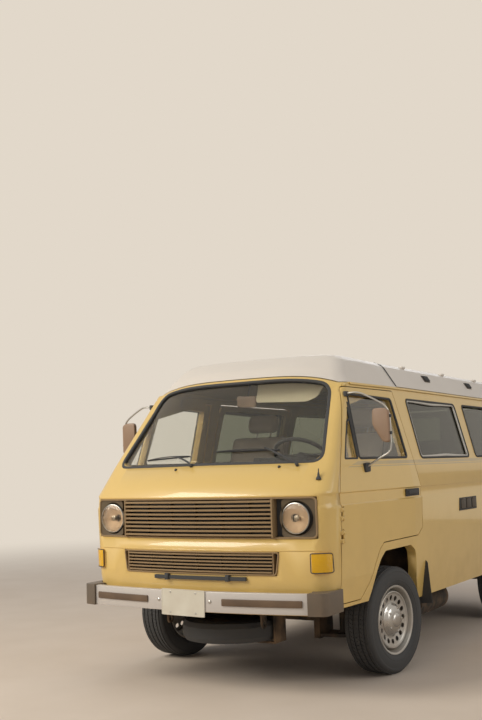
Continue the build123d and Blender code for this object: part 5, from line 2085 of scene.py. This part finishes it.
@dataclass
class Cabin:
    """Seats, bench, visor, mirror and cupboard fronts seen through the glass."""

    seat_x: float = 0.4
    rounding: float = 0.045
    waist: float = 0.035
    channel_depth: float = 0.011
    across: tuple[float, ...] = tuple(-0.605 + 0.055 * i for i in range(23))
    along: tuple[float, ...] = tuple(0.752 + 0.052 * i for i in range(15))

    def upholster(
        self, name: str, size: Triple, place: Matrix, crown: float, channels: int, *replaced: str,
    ) -> None:
        """Crowned cushion with sewn channels and piping.

        Args:
            name: name of the cushion.
            size: width, depth and thickness.
            place: from the cushion's own frame, with Z out of its seat side.
            crown: how far its middle stands up.
            channels: number of sewn channels across its width.
            replaced: CAD nodes that it stands for.
        """
        half, rounding = Vector(size) / 2, self.rounding
        work = bmesh.new()
        bmesh.ops.create_cube(work, size=2.0)
        bmesh.ops.subdivide_edges(work, edges=work.edges, cuts=22, use_grid_fill=True)
        for vertex in work.verts:
            u, v, w = vertex.co
            point = Vector((u * half.x, v * half.y, w * half.z))
            core = Vector([max(-(h - rounding), min(h - rounding, p)) for p, h in zip(point, half)])
            away = point - core
            if away.length > 1e-9:
                point = core + away.normalized() * rounding
            point.x *= 1.0 - self.waist * (1 - v * v) * (1 - w * w)
            point.y *= 1.0 - self.waist * (1 - u * u) * (1 - w * w)
            face = max(0.0, w)
            point.z += crown * (1 - u ** 4) * (1 - v ** 4) * face
            if channels > 1:
                phase = (u * 0.5 + 0.5) * channels
                gap = abs(phase - round(phase))
                inner = 1.0 if 0.5 < phase < channels - 0.5 else 0.0
                point.z -= self.channel_depth * math.exp(-((gap / 0.055) ** 2)) * face * inner * (1 - abs(v) ** 6)
            vertex.co = point
        cushion = from_bmesh(work).moved(place).fit(name, SEAT, "body", *replaced)
        inset = rounding * 0.3
        x, y = half.x - inset, half.y - inset
        loop = rounded_loop([(-x, -y), (x, -y), (x, y), (-x, y)], rounding * 1.6)
        path = []
        for a, b in loop:
            pinch_x = 1.0 - self.waist * (1 - (b / half.y) ** 2) * 0.2
            pinch_y = 1.0 - self.waist * (1 - (a / half.x) ** 2) * 0.2
            path.append(place @ Vector((a * pinch_x, b * pinch_y, half.z - inset)))
        settle(Pattern.path(f"{name}_piping", path, 0.004, PIPING, True))

    def front_seats(self) -> None:
        """Two seats with headrests on steel posts."""
        posts = []
        for side in Side:
            word, x = side.word, self.seat_x * side.value
            flat = Matrix.Translation((x, at(1.255), 0.995))
            self.upholster(f"front_cushion_{word}", (0.49, 0.49, 0.12), flat, 0.016, 4, "front_seats")
            lean = math.atan2(0.17, 0.48)
            turn = Matrix.Rotation(math.radians(90) - lean, 4, "X")
            back = Matrix.Translation((x, at(1.545), 1.3)) @ turn
            self.upholster(f"front_back_{word}", (0.47, 0.49, 0.105), back, 0.014, 4)
            head = Matrix.Translation((x, at(1.672), 1.632)) @ turn
            self.upholster(f"front_headrest_{word}", (0.25, 0.14, 0.074), head, 0.008, 1)
            for d in (-0.06, 0.06):
                posts.append([Vector((x + d, at(1.65), 1.52)), Vector((x + d, at(1.664), 1.58))])
        for number, line in enumerate(posts):
            settle(Pattern.path(f"headrest_post_{number}", line, 0.007, BRIGHT))

    def rear_seat(self) -> None:
        """Bench, its back and the mattress behind."""
        flat = Matrix.Translation((-0.08, at(3.115), 0.94))
        self.upholster("bench_cushion", (1.04, 0.65, 0.116), flat, 0.014, 6, "rear_bench")
        lean = Matrix.Rotation(math.radians(90) - math.atan2(0.05, 0.5), 4, "X")
        back = Matrix.Translation((-0.08, at(3.375), 1.25)) @ lean
        self.upholster("bench_back", (1.04, 0.5, 0.1), back, 0.012, 6)
        flat = Matrix.Translation((-0.09, at(3.875), 1.018))
        self.upholster("mattress", (1.06, 0.79, 0.102), flat, 0.008, 5)

    def fittings(self) -> None:
        """Sun visor, inner mirror, headlining and dashboard vents."""
        flap = [(0.06, 1.738), (0.44, 1.722), (0.52, 1.75), (0.56, 1.835), (0.33, 1.868), (0.06, 1.878)]
        outline = [Vector((x, at(0.762 + (z - 1.728) * 0.35), z)) for x, z in rounded_loop(flap, 0.025, 0.2)]
        prism(outline, Vector((0, 0.014, 0)), 0.005, 3).fit("sun_visor", VISOR)
        stem = [(-0.012, 0.84, 1.88), (-0.012, 0.818, 1.84), (-0.018, 0.795, 1.765)]
        settle(Pattern.path("inner_mirror_stem", [Vector((x, at(s), z)) for x, s, z in stem], 0.006, SMOKED))
        small = rounded_loop([(-0.092, 1.714), (0.056, 1.708), (0.056, 1.784), (-0.092, 1.792)], 0.018, 0.2)
        back = prism([Vector((x, at(0.778), z)) for x, z in small], Vector((0, 0.016, 0)), 0.005, 3)
        back.fit("inner_mirror_back", MIRROR_SHELL)
        lining = Shape()
        cells = quads([(i, i + 1) for i in range(len(self.along) - 1)], len(self.across), False)
        for level in (0.0, 0.004):
            grid = [CROWN.point(Vector((x, at(s), 1.828))) for s in self.along for x in self.across]
            lining.join(Shape([point + Vector((0, 0, level)) for point in grid], cells))
        lining.fit("cab_headlining", LINING)
        slot = slab((-0.25, 0.47, 1.326), (-0.14, 0.5, 1.3335), 0.001, 1)
        settle(Pattern.row("dashboard_vents", slot, 3, Vector((0.13, 0, 0)), GREY_PLASTIC))

    def cupboards(self) -> None:
        """Door fronts and pulls of the cupboards."""
        front = slab((0.486, 1.8, 0.56), (0.501, 2.195, 1.225), 0.003)
        settle(Pattern.row("cupboard_doors", front, 3, Vector((0, 0.405, 0)), LAMINATE))
        knob = revolve([(0.0, 0.0), (0.0, 0.01), (0.012, 0.012), (0.016, 0.009), (0.017, 0.0)], 20)
        knob = knob.moved(Matrix.Translation((0.487, at(2.15), 1.12)) @ Matrix.Rotation(math.pi, 4, "Z"))
        settle(Pattern.row("cupboard_knobs", knob, 3, Vector((0, 0.405, 0)), SMOKED))

    def build(self) -> None:
        """Everything inside."""
        self.front_seats()
        self.rear_seat()
        self.fittings()
        self.cupboards()


@dataclass
class Flanks:
    """Hook-up panel, air intakes, lamp rims and splash guards on the body's sides."""

    panel: tuple = (2.222, 2.614, 0.948, 1.042)
    intake: tuple = ((3.88, 1.4), (4.085, 1.4), (4.04, 1.716), (3.85, 1.716))

    def build(self) -> None:
        """The hook-up panel, then what both flanks carry."""
        self.hook_ups()
        for side in Side:
            self.louvres(side)
            self.lamp_rims(side)
            self.splash_guard(side)

    def splash_guard(self, side: Side) -> None:
        """Rubber guard that stands out of the flank behind the front wheel.

        Args:
            side: side of the van.
        """
        outline = [(0.905, 0.655), (0.917, 0.64), (0.937, 0.374), (0.8, 0.362), (0.8, 0.6)]
        guard = prism([Vector((side.value * x, at(1.526), z)) for x, z in outline], Vector((0, 0.005, 0)), 0.001, 1)
        guard.fit(f"splash_guard_{side.word}", RUBBER)

    def hook_ups(self) -> None:
        """Black plate with three sprung lids."""
        s0, s1, z0, z1 = self.panel
        x = 0.917
        plate = slab((x - 0.006, s0, z0), (x + 0.006, s1, z1), 0.004, 3)
        plate.fit("hook_up_plate", SMOKED, "body", "service_panel")
        lid = slab((x + 0.003, s0 + 0.022, z0 + 0.014), (x + 0.013, s0 + 0.122, z1 - 0.014), 0.004, 3)
        lid.join(slab((x + 0.004, s0 + 0.03, z1 - 0.018), (x + 0.015, s0 + 0.114, z1 - 0.008), 0.003))
        settle(Pattern.row("hook_up_lids", lid, 3, Vector((0, 0.124, 0)), GREY_PLASTIC))

    def louvres(self, side: Side) -> None:
        """Nine blades and the edge of one air intake.

        Args:
            side: side of the van.
        """
        skin = Skin(f"side_wall_{side.word}")
        (s0, z0), (s1, _), (s2, z2), (s3, _) = self.intake
        step = (z2 - z0) / 9
        corners = [(s0 - 0.012, z0 - 0.012), (s1 + 0.012, z0 - 0.012), (s2 + 0.012, z2), (s3 - 0.012, z2)]
        edge = [skin.side(s, z, side)[0] for s, z in rounded_loop(corners, 0.02)]
        settle(Pattern.path(f"intake_edge_{side.word}", edge, 0.006, SMOKED, True))
        low, _ = skin.side((s0 + s1) / 2, z0 - 0.004, side)
        high, _ = skin.side((s2 + s3) / 2, z2 - step * 0.5 + 0.03, side)
        x0, tip = abs(low.x), z0 + 0.45 * step
        section = ((x0 - 0.02, tip), (x0 + 0.004, z0 - 0.001), (x0 + 0.005, z0 + 0.004), (x0 - 0.018, tip + 0.004))
        outline = [Vector((x, at(s0 + 0.004), z)) for x, z in section]
        blade = prism(outline, Vector((0, s1 - s0 - 0.008, 0)), 0.0012, 1).on(side)
        rise = Vector(((abs(high.x) - x0) * side.value / 8, -0.0045, step))
        settle(Pattern.row(f"intake_blades_{side.word}", blade, 9, rise, SMOKED))

    def lamp_rims(self, side: Side) -> None:
        """Thin rubber edge round the front corner lamp.

        Args:
            side: side of the van.
        """
        skin = Skin("corner_lamps", "nose_panel")
        loop = rounded_loop([(0.747, 0.708), (0.852, 0.708), (0.852, 0.818), (0.747, 0.818)], 0.012, 0.02)
        found = [skin.front(x * side.value, z)[0] for x, z in loop]
        settle(Pattern.path(f"corner_lamp_edge_{side.word}", found, 0.0028, RUBBER, True))


def main() -> None:
    """Build the classes in order."""
    logging.basicConfig(level=logging.INFO, format="%(name)s %(message)s")
    for part in (Studio(), Wheels(), Shell(), Front(), Doors(), RoofKit(), Cabin(), Flanks()):
        LOG.info("building %s", type(part).__name__)
        part.build()


if __name__ == "__main__":
    main()
